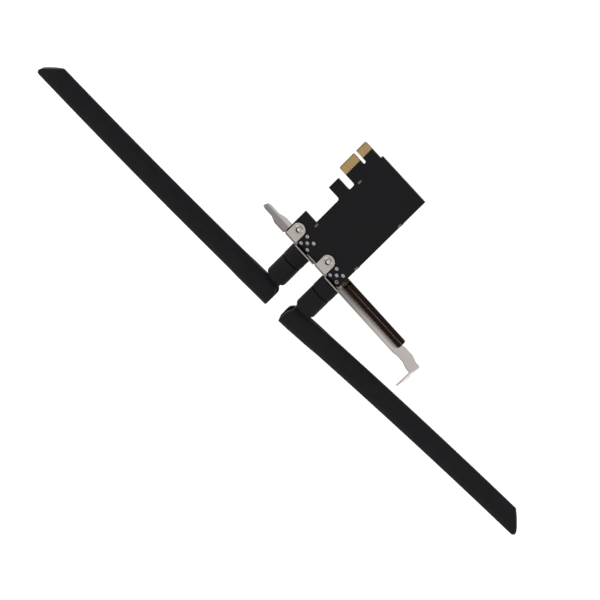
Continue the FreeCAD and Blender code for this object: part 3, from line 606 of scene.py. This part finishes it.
    def eased(self, width: float, segments: int = 2, angle: float = 32.0) -> "Shape":
        """Bevel the edges that are sharper than an angle."""
        bevel(self.bm, sharp_edges(self.bm, angle), width, segments, False)
        return self

    def placed(self, matrix: Matrix) -> "Shape":
        """Move the piece by a matrix in millimetres."""
        bmesh.ops.transform(self.bm, matrix=matrix, verts=self.bm.verts)
        return self

    def finish(self, body: str, slot: str, paints: list[Paint], replaces: tuple[str, ...] = (),
               smooth: float = 50.0) -> None:
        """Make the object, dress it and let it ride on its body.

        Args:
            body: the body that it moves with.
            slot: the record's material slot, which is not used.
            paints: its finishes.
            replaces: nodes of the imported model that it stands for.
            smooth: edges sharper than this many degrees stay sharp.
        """
        bmesh.ops.scale(self.bm, vec=(MM,) * 3, verts=self.bm.verts)
        normals = corner_normals(self.bm, smooth)
        mesh = meshed(self.bm, self.name)
        mesh.shade_smooth()
        mesh.normals_split_custom_set(normals)
        for paint in paints:
            mesh.materials.append(paint.material())
        made = add_object(self.name, mesh)
        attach(made, body)
        if replaces:
            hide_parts(*replaces)
        log.info("%s: %d faces on %s", self.name, len(mesh.polygons), body)


def dress_node(node: str, paint: Paint) -> None:
    """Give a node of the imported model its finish.

    Args:
        node: the node's name.
        paint: its finish.
    """
    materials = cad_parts[node].data.materials
    materials.clear()
    materials.append(paint.material())
    log.info("%s: dressed in %s", node, paint.value.name)


def node_boxes(node: str) -> list[tuple[Vector, Vector, Vector, Vector]]:
    """Find the box of each separate solid of a node.

    Args:
        node: the node's name.

    Returns:
        The low corner, high corner, middle and size of each solid, in millimetres.
    """
    shape = Shape.of_node(node, node)
    left = set(shape.bm.verts)
    boxes = []
    while left:
        island = [left.pop()]
        for vert in island:
            for edge in vert.link_edges:
                other = edge.other_vert(vert)
                if other in left:
                    left.remove(other)
                    island.append(other)
        runs = [[vert.co[axis] for vert in island] for axis in range(3)]
        low, high = Vector(map(min, runs)), Vector(map(max, runs))
        boxes.append((low, high, (low + high) / 2, high - low))
    shape.bm.free()
    return sorted(boxes, key=lambda box: tuple(box[0]))


@dataclass
class CardEdge:
    """The board, its solder joints and the contacts on its edge tongue."""

    edge_ease: float = 0.06
    chamfer_reach: float = 0.5
    chamfer_drop: float = 0.2
    joint_radius: float = 1.07
    joint_height: float = 0.55
    leg_reach: float = 5.3
    leg_spread: float = 5.08
    sink: Span = (-26.1, -29.1)
    tab_spread: Span = (33.9, 31.4)
    pad_size: Point = (2.4, 1.15, 0.03)

    def build(self) -> None:
        """Build the board, thinned towards the tongue's tip, and what lies on its solder side."""
        board = Shape.of_node("board", "circuit_board")
        skin, reach = board.bm, self.chamfer_reach
        bmesh.ops.bisect_plane(skin, geom=[*skin.verts, *skin.edges, *skin.faces], dist=1e-4,
                               plane_co=(0, -reach, 0), plane_no=(0, 1, 0))
        for vert in skin.verts:
            if vert.co.y > -reach / 2:
                vert.co.z *= 1 - 2 * self.chamfer_drop / BOARD
        board.eased(self.edge_ease, 1).finish("card", "board_mask", [Paint.MASK], ("circuit_board",))
        dress_node("edge_contacts", Paint.GOLD)
        self.solder()
        self.tab_pads()

    def solder(self) -> None:
        """Build a domed joint over each leg, and one with a hollow at the last, with a dark disc in its
        middle as painted shade for its hole.
        """
        joints = Shape("solder_joints_domed")
        half, top = self.leg_spread / 2, self.joint_height
        middle = PLATE_X + self.leg_reach
        offsets = [(0, 0), (half, half), (half, -half), (-half, half), (-half, -half)]
        *full, hollow = [(middle + dx, jack + dy) for jack in JACKS for dx, dy in offsets]
        dome = [(0, 0), (0, 1), (0.09, 0.97), (0.2, 0.84), (0.36, 0.62), (top, 0.36), (top + 0.05, 0.14),
                (top + 0.05, 0)]
        sunken = [(0, 0), (0, 1), (0.16, 0.94), (0.26, 0.8), (0.22, 0.62), (0.06, 0.5), (0.06, 0)]
        # Painted shade: a dark disc in the hollow joint's middle stands in for the shade of its hole.
        painted_hole_shade = [(0.03, 0), (0.03, 0.5), (0.09, 0.47), (0.09, 0)]
        heaps = [(dome, spot, 0) for spot in full]
        for outline, spot, paint in (*heaps, (sunken, hollow, 0), (painted_hole_shade, hollow, 1)):
            profile = [(along, share * self.joint_radius) for along, share in outline]
            joints.turned(profile, Axis.Z, (*spot, BOARD / 2), 28, paint)
        joints.finish("card", "solder", [Paint.SOLDER, Paint.CHIP], ("solder_joints",), 60)

    def tab_pads(self) -> None:
        """Build the bare pads that frame the heat sink's tabs."""
        pads = Shape("tab_pads")
        for sign_x, sign_y in product(SIGNS, repeat=2):
            x = self.sink[0] + sign_x * self.tab_spread[0] / 2
            y = self.sink[1] + sign_y * self.tab_spread[1] / 2
            pads.block(self.pad_size, (x, y, BOARD / 2 + 0.012), 0.01)
        pads.finish("card", "board_mask", [Paint.TINNED])


@dataclass
class SlotBracket:
    """The folded bracket and the two screws in its ears."""

    edge_ease: float = 0.11
    ears: Span = (-8.41, -31.79)
    ear_x: float = -51.95
    screw_radius: float = 1.45
    head_radius: float = 2.75
    head_height: float = 1.9
    screw_top: float = 1.15
    cross: Point = (3.0, 0.62, 2.0)
    thread_depth: float = 0.22
    thread_pitch: float = 0.5
    collar_radius: float = 2.1
    collar_flare: float = 0.42
    rib_edge: float = -55.3
    rib_ends: Span = (-89.8, -9.0)
    rib_round: float = 1.2

    def build(self) -> None:
        """Build the bracket and its screws."""
        bracket = Shape.of_node("slot_bracket", "bracket")
        self.soften(bracket.bm)
        bracket.eased(self.edge_ease).finish("card", "plated_steel", [Paint.NICKEL], ("bracket",))
        screws = Shape("ear_screws_cross")
        for y in self.ears:
            screws.take(self.screw(y))
        screws.finish("card", "screw_steel", [Paint.SCREW], ("ear_screws",))

    def soften(self, bracket: Skin) -> None:
        """Flare the feet of the ears' drawn collars and round the rib's two free corners.

        Args:
            bracket: the bracket.
        """
        def on_collar(vert: bmesh.types.BMVert) -> bool:
            """Say whether a corner lies on the foot or rim of a collar."""
            away = [math.hypot(vert.co.x - self.ear_x, vert.co.y - y) for y in self.ears]
            return near(self.collar_radius, *away)

        def on_rib_end(vert: bmesh.types.BMVert) -> bool:
            """Say whether a corner lies at a free corner of the rib."""
            return near(vert.co.x, self.rib_edge) and near(vert.co.y, *self.rib_ends)

        feet = [edge for edge in bracket.edges if edge.is_manifold and not edge.is_convex
                and all(map(on_collar, edge.verts)) and rise(edge) < 0.01]
        bevel(bracket, feet, self.collar_flare, 3, False)
        ends = [edge for edge in bracket.edges if rise(edge) > 0.3 and all(map(on_rib_end, edge.verts))]
        bevel(bracket, ends, self.rib_round, 5, False)
        log.info("bracket: %d edges at the collars' feet and %d at the rib's ends", len(feet), len(ends))

    def screw(self, y: float) -> Skin:
        """Build one pan-headed screw with a cross recess.

        Args:
            y: the ear's place along the bracket.

        Returns:
            The screw's bmesh.
        """
        under, top = -BOARD / 2, self.screw_top
        head = under - self.head_height
        rim, shank = self.head_radius, self.screw_radius
        profile = [(head, 0), (head + 0.05, 0.45 * rim), (head + 0.25, 0.75 * rim), (head + 0.7, 0.95 * rim),
                   (head + 1.1, rim), (under, rim), (under, shank - 0.2), (top - 0.25, shank - 0.2),
                   (top, shank - 0.45), (top, 0)]
        place = (self.ear_x, y, 0)
        long, wide, deep = self.cross
        first, second = (Shape("slot").block(size, (self.ear_x, y, head))
                         for size in ((long, wide, deep), (wide, long, deep)))
        screw = Shape("screw").turned(profile, Axis.Z, place, 48).cut(first.fused(second)).eased(0.04, 1, 40)
        depth, pitch = self.thread_depth, self.thread_pitch
        return screw.thread(under + 0.1, top - 0.1, shank, depth, pitch, Axis.Z, place).bm


@dataclass
class ComponentSide:
    """The heat sink and the parts that hang under the board."""

    sink_ease: float = 0.12
    chip_ease: float = 0.08
    pads_a_side: int = 4
    flat_pad: Point = (0.28, 0.3, 0.08)
    memory_length: float = 3.9
    memory_lead: float = 0.2
    memory_lead_width: float = 0.42
    memory_pitch: float = 1.27
    body_share: float = 0.56
    cap_share: float = 0.24

    def build(self) -> None:
        """Build the heat sink and the parts beside it."""
        sink = Shape.of_node("finned_heat_sink", "heat_sink").eased(self.sink_ease)
        sink.finish("card", "sink_metal", [Paint.COPPER], ("heat_sink",))
        dress_node("radio_chip", Paint.CHIP)
        dress_node("thermal_pad", Paint.PAD)
        self.flat_packs()
        self.coil()
        self.tantalums()
        self.clock()
        self.memory()
        self.passives()

    def flat_packs(self) -> None:
        """Build the flat chips with their side pads and first-pin dimples."""
        count = self.pads_a_side
        wide, long, thick = self.flat_pad
        for name, node in (("amplifiers_flat", "amplifier_chips"), ("regulator_flat", "regulator_chip")):
            chips = Shape(name)
            for low, high, middle, size in node_boxes(node):
                body = Shape("body").block((size.x, size.x, size.z), middle, self.chip_ease)
                chips.take(body.dimpled((low.x + 0.6, low.y + 0.6, low.z), 0.25).bm)
                for index, sign in product(range(count), SIGNS):
                    run = (index - (count - 1) / 2) * (size.x / (count + 1))
                    reach = sign * (size.x / 2 + 0.06)
                    for pad, dx, dy in (((wide, long, thick), run, reach), ((long, wide, thick), reach, run)):
                        chips.block(pad, (middle.x + dx, middle.y + dy, high.z - 0.05), 0.01, 1)
            chips.finish("card", "chip_plastic", [Paint.CHIP, Paint.SOLDER], (node,))

    def coil(self) -> None:
        """Build the moulded power coil with its two end plates."""
        _, high, middle, size = node_boxes("power_inductor")[0]
        side, height = size.x, size.z
        body = bmesh.new()
        bmesh.ops.create_cube(body, size=1.0)
        bmesh.ops.scale(body, vec=(side, side, height * 0.96), verts=body.verts)
        bevel(body, [edge for edge in body.edges if rise(edge) > 0.1], side / 6, 5, False)
        bevel(body, sharp_edges(body), 0.2, 3)
        bmesh.ops.translate(body, vec=middle - Vector((0, 0, height * 0.02)), verts=body.verts)
        coil = Shape("power_coil").take(body)
        for plate, dx, drop in (((side * 0.22, side * 0.5, 0.3), side * 0.4, 0.15),
                                ((0.12, side * 0.5, height * 0.45), side / 2 - 0.03, height * 0.22)):
            for sign in SIGNS:
                coil.block(plate, (middle.x + sign * dx, middle.y, high.z - drop), 0.03, 1)
        coil.finish("card", "ferrite", [Paint.FERRITE, Paint.SOLDER], ("power_inductor",))

    def tantalums(self) -> None:
        """Build the bulk capacitors with folded end plates and a stripe at one end."""
        parts = Shape("bulk_capacitors_moulded")
        for low, high, middle, (width, length, height) in node_boxes("bulk_capacitors"):
            x = middle.x
            parts.block((width, length - 0.1, height - 0.15), (x, middle.y, middle.z - 0.075), 0.12)
            parts.block((width * 0.98, length * 0.16, 0.02), (x, low.y + length * 0.2, low.z + 0.006), 0, 2)
            for end, sign in ((low.y, 1), (high.y, -1)):
                for plate, dy, drop in (((width * 0.72, 0.12, height * 0.55), 0.03, height * 0.27),
                                        ((width * 0.72, 0.8, 0.14), 0.4, 0.07)):
                    parts.block(plate, (x, end + sign * dy, high.z - drop), 0.03, 1)
        parts.finish("card", "tantalum_plastic", [Paint.TANTALUM, Paint.SOLDER, Paint.STRIPE],
                     ("bulk_capacitors",))

    def clock(self) -> None:
        """Build the crystal: a ceramic tray with a welded lid."""
        low, high, middle, (width, length, height) = node_boxes("crystal")[0]
        tray, lid = (width, length, height * 0.6), (width - 0.35, length - 0.35, height * 0.42)
        crystal = Shape("crystal_lidded").block(tray, (middle.x, middle.y, high.z - height * 0.3), 0.05)
        crystal.block(lid, (middle.x, middle.y, low.z + height * 0.21), 0.09, 1)
        crystal.finish("card", "crystal_can", [Paint.CERAMIC, Paint.CAN], ("crystal",))

    def memory(self) -> None:
        """Build the memory chip with its bent leads."""
        low, high, middle, (width, length, height) = node_boxes("memory_chip")[0]
        inner, lead, wide = self.memory_length, self.memory_lead, self.memory_lead_width
        body = Shape("body").block((width, inner, height - 0.15), (middle.x, middle.y, middle.z - 0.075), 0.1)
        body.dimpled((low.x + 0.8, middle.y - 1.2, low.z), 0.35)
        chip = Shape("memory_chip_leaded").take(body.bm)
        for index, sign in product(range(4), SIGNS):
            x = middle.x + (index - 1.5) * self.memory_pitch
            edge = middle.y + sign * inner / 2
            end = middle.y + sign * length / 2
            for size, y, z in (((wide, 0.5, lead), edge + sign * 0.15, middle.z),
                               ((wide, lead, height * 0.5), edge + sign * 0.42, middle.z + height * 0.24),
                               ((wide, abs(end - edge) - 0.32, lead), (edge + end) / 2 + sign * 0.16,
                                high.z - lead / 2)):
                chip.block(size, (x, y, z), 0.04, 1)
        chip.finish("card", "chip_plastic", [Paint.CHIP, Paint.SOLDER], ("memory_chip",))

    def passives(self) -> None:
        """Build the small capacitors and resistors with their plated ends."""
        for name, node, slot, paint in (
            ("coupling_parts", "coupling_capacitors", "chip_ceramic", Paint.CERAMIC),
            ("filter_parts", "filter_resistors", "chip_resistor", Paint.GLAZE),
        ):
            parts = Shape(name)
            for _, _, middle, size in node_boxes(node):
                long = 0 if size.x > size.y else 1
                body, cap = size.copy(), size.copy()
                body[long] *= self.body_share
                cap[long] *= self.cap_share
                parts.block(body * 0.96, middle, 0.03)
                for sign in SIGNS:
                    place = middle.copy()
                    place[long] += sign * size[long] * (1 - self.cap_share) / 2
                    parts.block(cap, place, 0.04, 1)
            parts.finish("card", slot, [paint, Paint.SOLDER], (node,))


@dataclass
class Antenna:
    """One jack with its coupling nut, swivel base and folding blade.

    The shapes are drawn from the hinge pin, with +X to the card and +Y along the folded blade.
    """

    side: Side
    jack_y: float
    turn: float
    axis_z: float = -6.515
    pivot_reach: float = 31.66
    jack_block: float = 8.4
    jack_half: float = 4.0
    jack_front: float = 0.91
    jack_reach: float = 9.0
    jack_foot: float = 7.3
    jack_bore: float = 2.07
    jack_barrel: float = 2.86
    jack_crest: float = 3.17
    jack_bore_end: float = 4.7
    mouth_bore: float = 2.36
    mouth_depth: float = 1.9
    thread_depth: float = 0.32
    thread_pitch: float = 0.7056
    leg_side: float = 0.95
    leg_place: float = 5.3
    leg_half: float = 2.54
    knuckle: float = 6.4
    knuckle_slim: float = 6.3
    nut: Span = (20.71, 30.66)
    nut_bore: float = 3.275
    nut_rear_bore: float = 3.05
    flutes: int = 48
    flute_depth: float = 0.13
    base: Span = (7.6, 20.2)
    base_bore: float = 3.0
    bore_floor: float = 15.0
    shoulder: float = 1.9
    rim_round: float = 0.5
    skirt: float = 0.9
    collar: float = 4.8
    lug_radius: float = 4.6
    lug_thickness: float = 5.0
    cheek_gap: float = 0.12
    pin_radius: float = 1.2
    root_end: float = 6.5
    length: float = 172.6
    inner_length: float = 160.1
    tip_bulge: float = 0.35
    root_width: float = 13.1
    tip_width: float = 12.5
    root_thickness: float = 10.6
    root_edge: float = 6.4
    blade_edge: float = 2.2
    squareness: Span = (4.0, 8.0)
    point_spread: float = 0.45
    blade_thickness: float = 7.4
    tip_thickness: float = 6.0
    neck: Span = (8.0, 24.0)
    bow: float = 2.5
    tip_round: float = 2.0
    tip_ease: float = 0.7
    tip_zone: float = 150.0
    root_zone: float = 9.0
    fork_ease: float = 0.14
    heel_round: float = 2.0

    @property
    def seat(self) -> Matrix:
        """Give the place and turn of the hinge pin."""
        place = Matrix.Translation((PLATE_X - self.pivot_reach, self.jack_y, self.axis_z))
        return place @ Matrix.Rotation(math.radians(self.turn), 4, "X")

    def named(self, word: str) -> str:
        """Add the side to a name."""
        return f"{word}_{self.side.value}"

    def build(self) -> None:
        """Build the jack and the antenna on it."""
        self.jack()
        self.coupling_nut()
        self.swivel()
        self.blade()
        for node, paint in (("jack_insulator", Paint.INSULATOR), ("jack_pin", Paint.GOLD),
                            ("plug_shell", Paint.BRASS), ("plug_insulator", Paint.INSULATOR),
                            ("plug_socket", Paint.GOLD), ("hinge_pin", Paint.PIN), ("radiator", Paint.STRIP)):
            dress_node(self.named(node), paint)

    def jack(self) -> None:
        """Build the jack's block, legs and threaded barrel."""
        side, half, reach, bore, barrel = (self.jack_block, self.jack_half, self.jack_reach, self.jack_bore,
                                           self.jack_barrel)
        top = self.jack_foot - BOARD
        place = (self.jack_front + side / 2, 0, (top - half) / 2)
        body = Shape("block").block((side, 2 * half, half + top), place, 0.15)
        body.cut(Shape("bore").drum(-2 * reach, self.jack_bore_end, bore, 48, Axis.X))
        jack = Shape(self.named("jack_threaded")).take(body.bm)
        mouth, step = self.mouth_bore, self.mouth_depth - reach
        jack.turned([(-reach, mouth), (step, mouth), (step, bore), (2, bore), (2, barrel),
                     (0.3 - reach, barrel), (-reach, 2.7)])
        jack.thread(-reach + 0.2, -0.2, self.jack_crest, self.thread_depth, self.thread_pitch)
        leg = self.leg_side
        for dx, dy in product((-self.leg_half, self.leg_half), repeat=2):
            jack.block((leg, leg, BOARD + leg), (self.leg_place + dx, dy, self.jack_foot - 1.26), 0.06)
        jack.placed(Matrix.Translation((PLATE_X, self.jack_y, self.axis_z)))
        jack.finish("card", "jack_brass", [Paint.BRASS], (self.named("jack_body"),))

    def coupling_nut(self) -> None:
        """Build the coupling nut with fine flutes round its grip."""
        (start, end), wide = self.nut, self.knuckle
        rim, neck = wide - 0.35, self.collar - 0.2
        grip = start + self.skirt
        rear = start + 1.2
        part = Shape(self.named("nut_fluted")).turned(
            [(start, self.nut_rear_bore), (rear, self.nut_rear_bore), (rear, self.nut_bore),
             (end, self.nut_bore), (end, rim), (end - 0.35, wide), (end - 1.3, wide), (end - 1.5, wide),
             (grip + 1.5, wide), (grip + 1.3, wide), (grip + 0.35, wide), (grip, rim), (grip, neck),
             (start, neck)], steps=self.flutes * 4)
        for vert in part.bm.verts:
            radius = math.hypot(vert.co.y, vert.co.z)
            if radius > wide - 0.05 and grip + 1.4 < vert.co.x < end - 1.4:
                turn = math.atan2(vert.co.z, vert.co.y)
                depth = self.flute_depth * (0.5 - 0.5 * math.cos(self.flutes * turn))
                vert.co.yz = vert.co.yz * ((radius - depth) / radius)
        part.placed(self.seat)
        part.finish(self.named("nut"), "black_plastic", [Paint.PLASTIC], (self.named("coupling_nut"),))

    def swivel(self) -> None:
        """Build the round base with its rounded shoulder and hinge lug."""
        (start, end), wide, shoulder = self.base, self.knuckle_slim, self.shoulder
        lip = end + self.skirt
        bore, floor = self.base_bore, self.bore_floor

        def arc(place: float, bend: float, steps: int) -> list[Span]:
            """Round a corner of the profile, from the side of the piece to its end.

            Args:
                place: where the piece ends.
                bend: radius of the rounding, below zero at the high end.
                steps: number of its facets.

            Returns:
                The points of the rounding.
            """
            turns = [math.pi / 2 * step / steps for step in range(steps + 1)]
            return [(place + bend * (1 - math.sin(turn)), wide - abs(bend) * (1 - math.cos(turn)))
                    for turn in turns]

        body = Shape(self.named("swivel_base_lugged")).turned(
            [(start, 0), *reversed(arc(start, shoulder, 6)), *arc(lip, -self.rim_round, 4),
             (lip, self.collar), (end, self.collar), (end, bore), (floor, bore), (floor, 0)], steps=72)
        thick = self.lug_thickness
        lug = Shape("lug").drum(-thick / 2, thick / 2, self.lug_radius, 72)
        length = start + shoulder + 0.2
        lug.fused(Shape("neck").block((length, 2 * self.lug_radius, thick), (length / 2, 0, 0)))
        body.fused(lug.eased(0.25, 2, 50)).placed(self.seat)
        body.finish(self.named("swivel"), "black_plastic", [Paint.PLASTIC], (self.named("swivel_base"),))

    def section(self, y: float, angle: float) -> Vector:
        """Give a point on the blade's skin.

        Args:
            y: distance along the blade from the hinge pin.
            angle: the point's turn round the section, in radians.

        Returns:
            The point, in the frame of the hinge pin.
        """
        start, end = self.neck
        slim = min(1.0, max(0.0, (y - start) / (end - start)))
        slim = slim * slim * (3 - 2 * slim)
        along = max(y, 0.0) / self.length
        width = self.root_width + (self.tip_width - self.root_width) * along
        thick = self.blade_thickness + (self.tip_thickness - self.blade_thickness) * along
        thick = self.root_thickness + (thick - self.root_thickness) * slim
        edge = self.root_edge + (self.blade_edge - self.root_edge) * slim
        power = self.squareness[0] + (self.squareness[1] - self.squareness[0]) * slim
        across = math.copysign(abs(math.cos(angle)) ** self.point_spread, math.cos(angle))
        crown = (edge + (thick - edge) * (1 - across * across)) / 2
        rim = (1 - abs(across) ** power) ** (1 / power)
        z = math.copysign(crown * rim, math.sin(angle))
        return Vector((across * width / 2, y, z + 4 * self.bow * along * (1 - along)))

    def blade(self) -> None:
        """Build the blade: one lofted skin with a fork at its root and a slanted tip."""
        corners, steps = 56, 24
        start, end = self.neck
        stations = [-self.root_end, -self.root_end + 0.5, 0.0, 4.0]
        stations += [start + step for step in range(0, 17, 2)]
        stations += [end + step * (self.length - end) / steps for step in range(1, steps + 1)]
        blade = Shape(self.named("blade_forked"))
        rings = []
        for y in stations:
            ring = bmesh.ops.create_circle(blade.bm, cap_ends=False, radius=1.0, segments=corners)["verts"]
            for index, vert in enumerate(ring):
                vert.co = self.section(y, 2 * math.pi * (index + 0.5) / corners)
            rings.append({edge for vert in ring for edge in vert.link_edges})
        for first, second in zip(rings, rings[1:]):
            bmesh.ops.bridge_loops(blade.bm, edges=[*first, *second])
        bmesh.ops.holes_fill(blade.bm, edges=blade.bm.edges, sides=0)
        bmesh.ops.recalc_face_normals(blade.bm, faces=blade.bm.faces)
        self.slant(blade.bm)
        self.fork(blade)
        edges = [edge for edge in sharp_edges(blade.bm, 40.1)
                 if max(vert.co.y for vert in edge.verts) < self.root_zone and edge.calc_length() > 0.05]
        bevel(blade.bm, edges, self.fork_ease)
        blade.placed(self.seat)
        blade.finish(self.named("antenna"), "black_plastic", [Paint.PLASTIC], (self.named("blade"),))

    def slant(self, blade: Skin) -> None:
        """Cut the slanted, slightly bowed tip and round its sharp corner.

        Args:
            blade: the blade's skin.
        """
        half, radius = self.tip_width / 2, self.tip_round
        drop = self.length - self.inner_length
        normal = Vector((drop, self.tip_width, 0)).normalized()
        lean = math.atan2(normal.y, normal.x)
        corner = Vector((-half, self.length, 0))
        along = Vector((self.tip_width, -drop, 0))
        planes = []
        for share in (0.125, 0.375, 0.625, 0.875):
            swing = 4 * self.tip_bulge / along.length * (2 * share - 1)
            place = corner + along * share + normal * (4 * self.tip_bulge * share * (1 - share))
            planes.append((place, (normal + along.normalized() * swing).normalized()))
        middle = Vector((radius - half, self.length - drop / self.tip_width * radius - radius / normal.y, 0))
        for step in range(1, 6):
            turn = lean + (math.pi - lean) * step / 6
            direction = Vector((math.cos(turn), math.sin(turn), 0))
            planes.append((middle + direction * radius, direction))
        for point, direction in planes:
            cut = bmesh.ops.bisect_plane(blade, geom=[*blade.verts, *blade.edges, *blade.faces], dist=1e-4,
                                         plane_co=point, plane_no=direction, clear_outer=True)
            edges = [item for item in cut["geom_cut"] if isinstance(item, Edge)]
            bmesh.ops.holes_fill(blade, edges=edges, sides=0)
        tip = [edge for edge in sharp_edges(blade, 28) if edge.verts[0].co.y > self.tip_zone]
        bevel(blade, tip, self.tip_ease, 4)

    def fork(self, blade: Shape) -> None:
        """Open the fork for the lug, round its corner and heel and bore it for the pin.

        Args:
            blade: the blade's skin.
        """
        gap = self.lug_thickness + 2 * self.cheek_gap
        room = self.lug_radius + self.cheek_gap
        wide, round_by = self.root_width, self.heel_round
        slot = Shape("slot").drum(-gap / 2, gap / 2, room, 64)
        for size, centre in (((wide, 2 * room, gap), (wide / 2, 0, 0)),
                             ((2 * room, wide, gap), (0, -wide / 2, 0)),
                             ((wide, wide, gap), (wide / 2, -wide / 2, 0))):
            slot.fused(Shape("side").block(size, centre))
        corner = Shape("corner").block((wide, wide, 2 * wide), (wide / 2, -wide / 2, 0))
        corner.cut(Shape("kept").drum(-2 * wide, 2 * wide, wide / 2, 96))
        bore = Shape("bore").drum(-wide, wide, self.pin_radius + 0.05, 32)
        x, y = round_by - wide / 2, round_by - self.root_end
        heel = Shape("heel").block((2 * round_by, 2 * round_by, 2 * wide), (x - round_by, y - round_by, 0))
        heel.cut(Shape("kept").drum(-2 * wide, 2 * wide, round_by, 48, centre=(x, y, 0)))
        for tool in (slot, corner, bore, heel):
            blade.cut(tool)


@dataclass
class Studio:
    """The pale floor, the soft lights and the camera at the photograph's angle."""

    camera_place: Point = (0.38741, -0.19774, 1.29373)
    camera_turn: Point = (-8.889, 18.9671, -44.8892)
    lens: float = 155.13
    floor_drop: float = 0.14
    floor_half: float = 6.0
    glow: float = 0.22
    bright: float = 0.95
    tint: Colour = (1.0, 0.985, 0.965)
    dim_way: Point = (0.337, 0.117, 0.934)
    dim_colour: Colour = (0.07, 0.052, 0.042)
    dim_reach: Span = (18.0, 31.0)
    lit_middle: Point = (-0.07, -0.02, 0)
    box_distance: float = 1.6
    boxes: tuple[tuple[str, Point, float, float], ...] = (
        ("key", (0.0, 0.86, 0.5), 0.8, 7.0),
        ("fill", (0.25, -0.86, 0.45), 0.7, 5.0),
    )

    def build(self) -> None:
        """Build the floor, the lights, the surroundings and the camera."""
        bpy.context.scene.view_settings.view_transform = "Standard"
        self.floor()
        self.surroundings()
        self.lights()
        self.camera()

    def floor(self) -> None:
        """Lay a pale floor a little below the antennas."""
        low = Vector(CAD_BOUNDS[0]).z - self.floor_drop
        part = bmesh.new()
        bmesh.ops.create_grid(part, x_segments=1, y_segments=1, size=self.floor_half)
        bmesh.ops.translate(part, vec=(0, 0, low), verts=part.verts)
        mesh = meshed(part, "floor")
        paper = Finish("studio_paper", (0.9, 0.9, 0.9), 0.9, mottle=0.01, grain=0.0, specular=0.1).material()
        shader = paper.node_tree.nodes["Principled BSDF"]
        shader.inputs["Emission Color"].default_value = (1, 1, 1, 1)
        shader.inputs["Emission Strength"].default_value = self.glow
        mesh.materials.append(paper)
        floor = add_object("floor", mesh)
        floor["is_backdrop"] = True

    def surroundings(self) -> None:
        """Light the scene evenly from all round, but for the dim side where the camera stands."""
        world = bpy.data.worlds.new("studio")
        world.use_nodes = True
        tree = world.node_tree
        way = wire(tree, "ShaderNodeTexCoord", {}, "Generated")
        nearness = wire(tree, "ShaderNodeVectorMath", {0: way, 1: Vector(self.dim_way).normalized()}, "Value",
                        operation="DOT_PRODUCT")
        end, start = (math.cos(math.radians(reach)) for reach in self.dim_reach)
        shade = wire(tree, "ShaderNodeMapRange", {"Value": nearness, "From Min": start, "From Max": end},
                     interpolation_type="SMOOTHSTEP")
        bright = (*(part * self.bright for part in self.tint), 1)
        sky = wire(tree, "ShaderNodeMix", {0: shade, 6: bright, 7: (*self.dim_colour, 1)}, 2,
                   data_type="RGBA")
        tree.links.new(sky, tree.nodes["Background"].inputs["Color"])
        bpy.context.scene.world = world

    def lights(self) -> None:
        """Hang the soft boxes."""
        middle = Vector(self.lit_middle)
        for name, way, size, power in self.boxes:
            data = bpy.data.lights.new(name, "AREA")
            data.shape = "SQUARE"
            data.size = size
            data.energy = power
            lamp = add_object(name, data)
            lamp.location = middle + Vector(way).normalized() * self.box_distance
            lamp.rotation_euler = (middle - lamp.location).to_track_quat("-Z", "Y").to_euler()

    def camera(self) -> None:
        """Set up the camera that took the photograph."""
        data = bpy.data.cameras.new("camera")
        data.lens = self.lens
        data.sensor_width = 36.0
        data.clip_end = 50.0
        camera = add_object("camera", data)
        camera.location = self.camera_place
        camera.rotation_euler = [math.radians(turn) for turn in self.camera_turn]
        bpy.context.scene.camera = camera


def main() -> None:
    """Build every sub-assembly in order."""
    logging.basicConfig(level=logging.INFO, format="%(message)s")
    assemblies = (
        CardEdge(),
        SlotBracket(),
        ComponentSide(),
        Antenna(Side.LOWER, jack_y=JACKS[0], turn=7.3),
        Antenna(Side.UPPER, jack_y=JACKS[1], turn=194.8),
        Studio(),
    )
    for assembly in assemblies:
        assembly.build()
        log.info("%s done", type(assembly).__name__)
    boxes = {"cad": CAD_BOUNDS, "visual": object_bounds()}
    lines = {name: [[float(number) for number in corner] for corner in box] for name, box in boxes.items()}


if __name__ == "__main__":
    main()
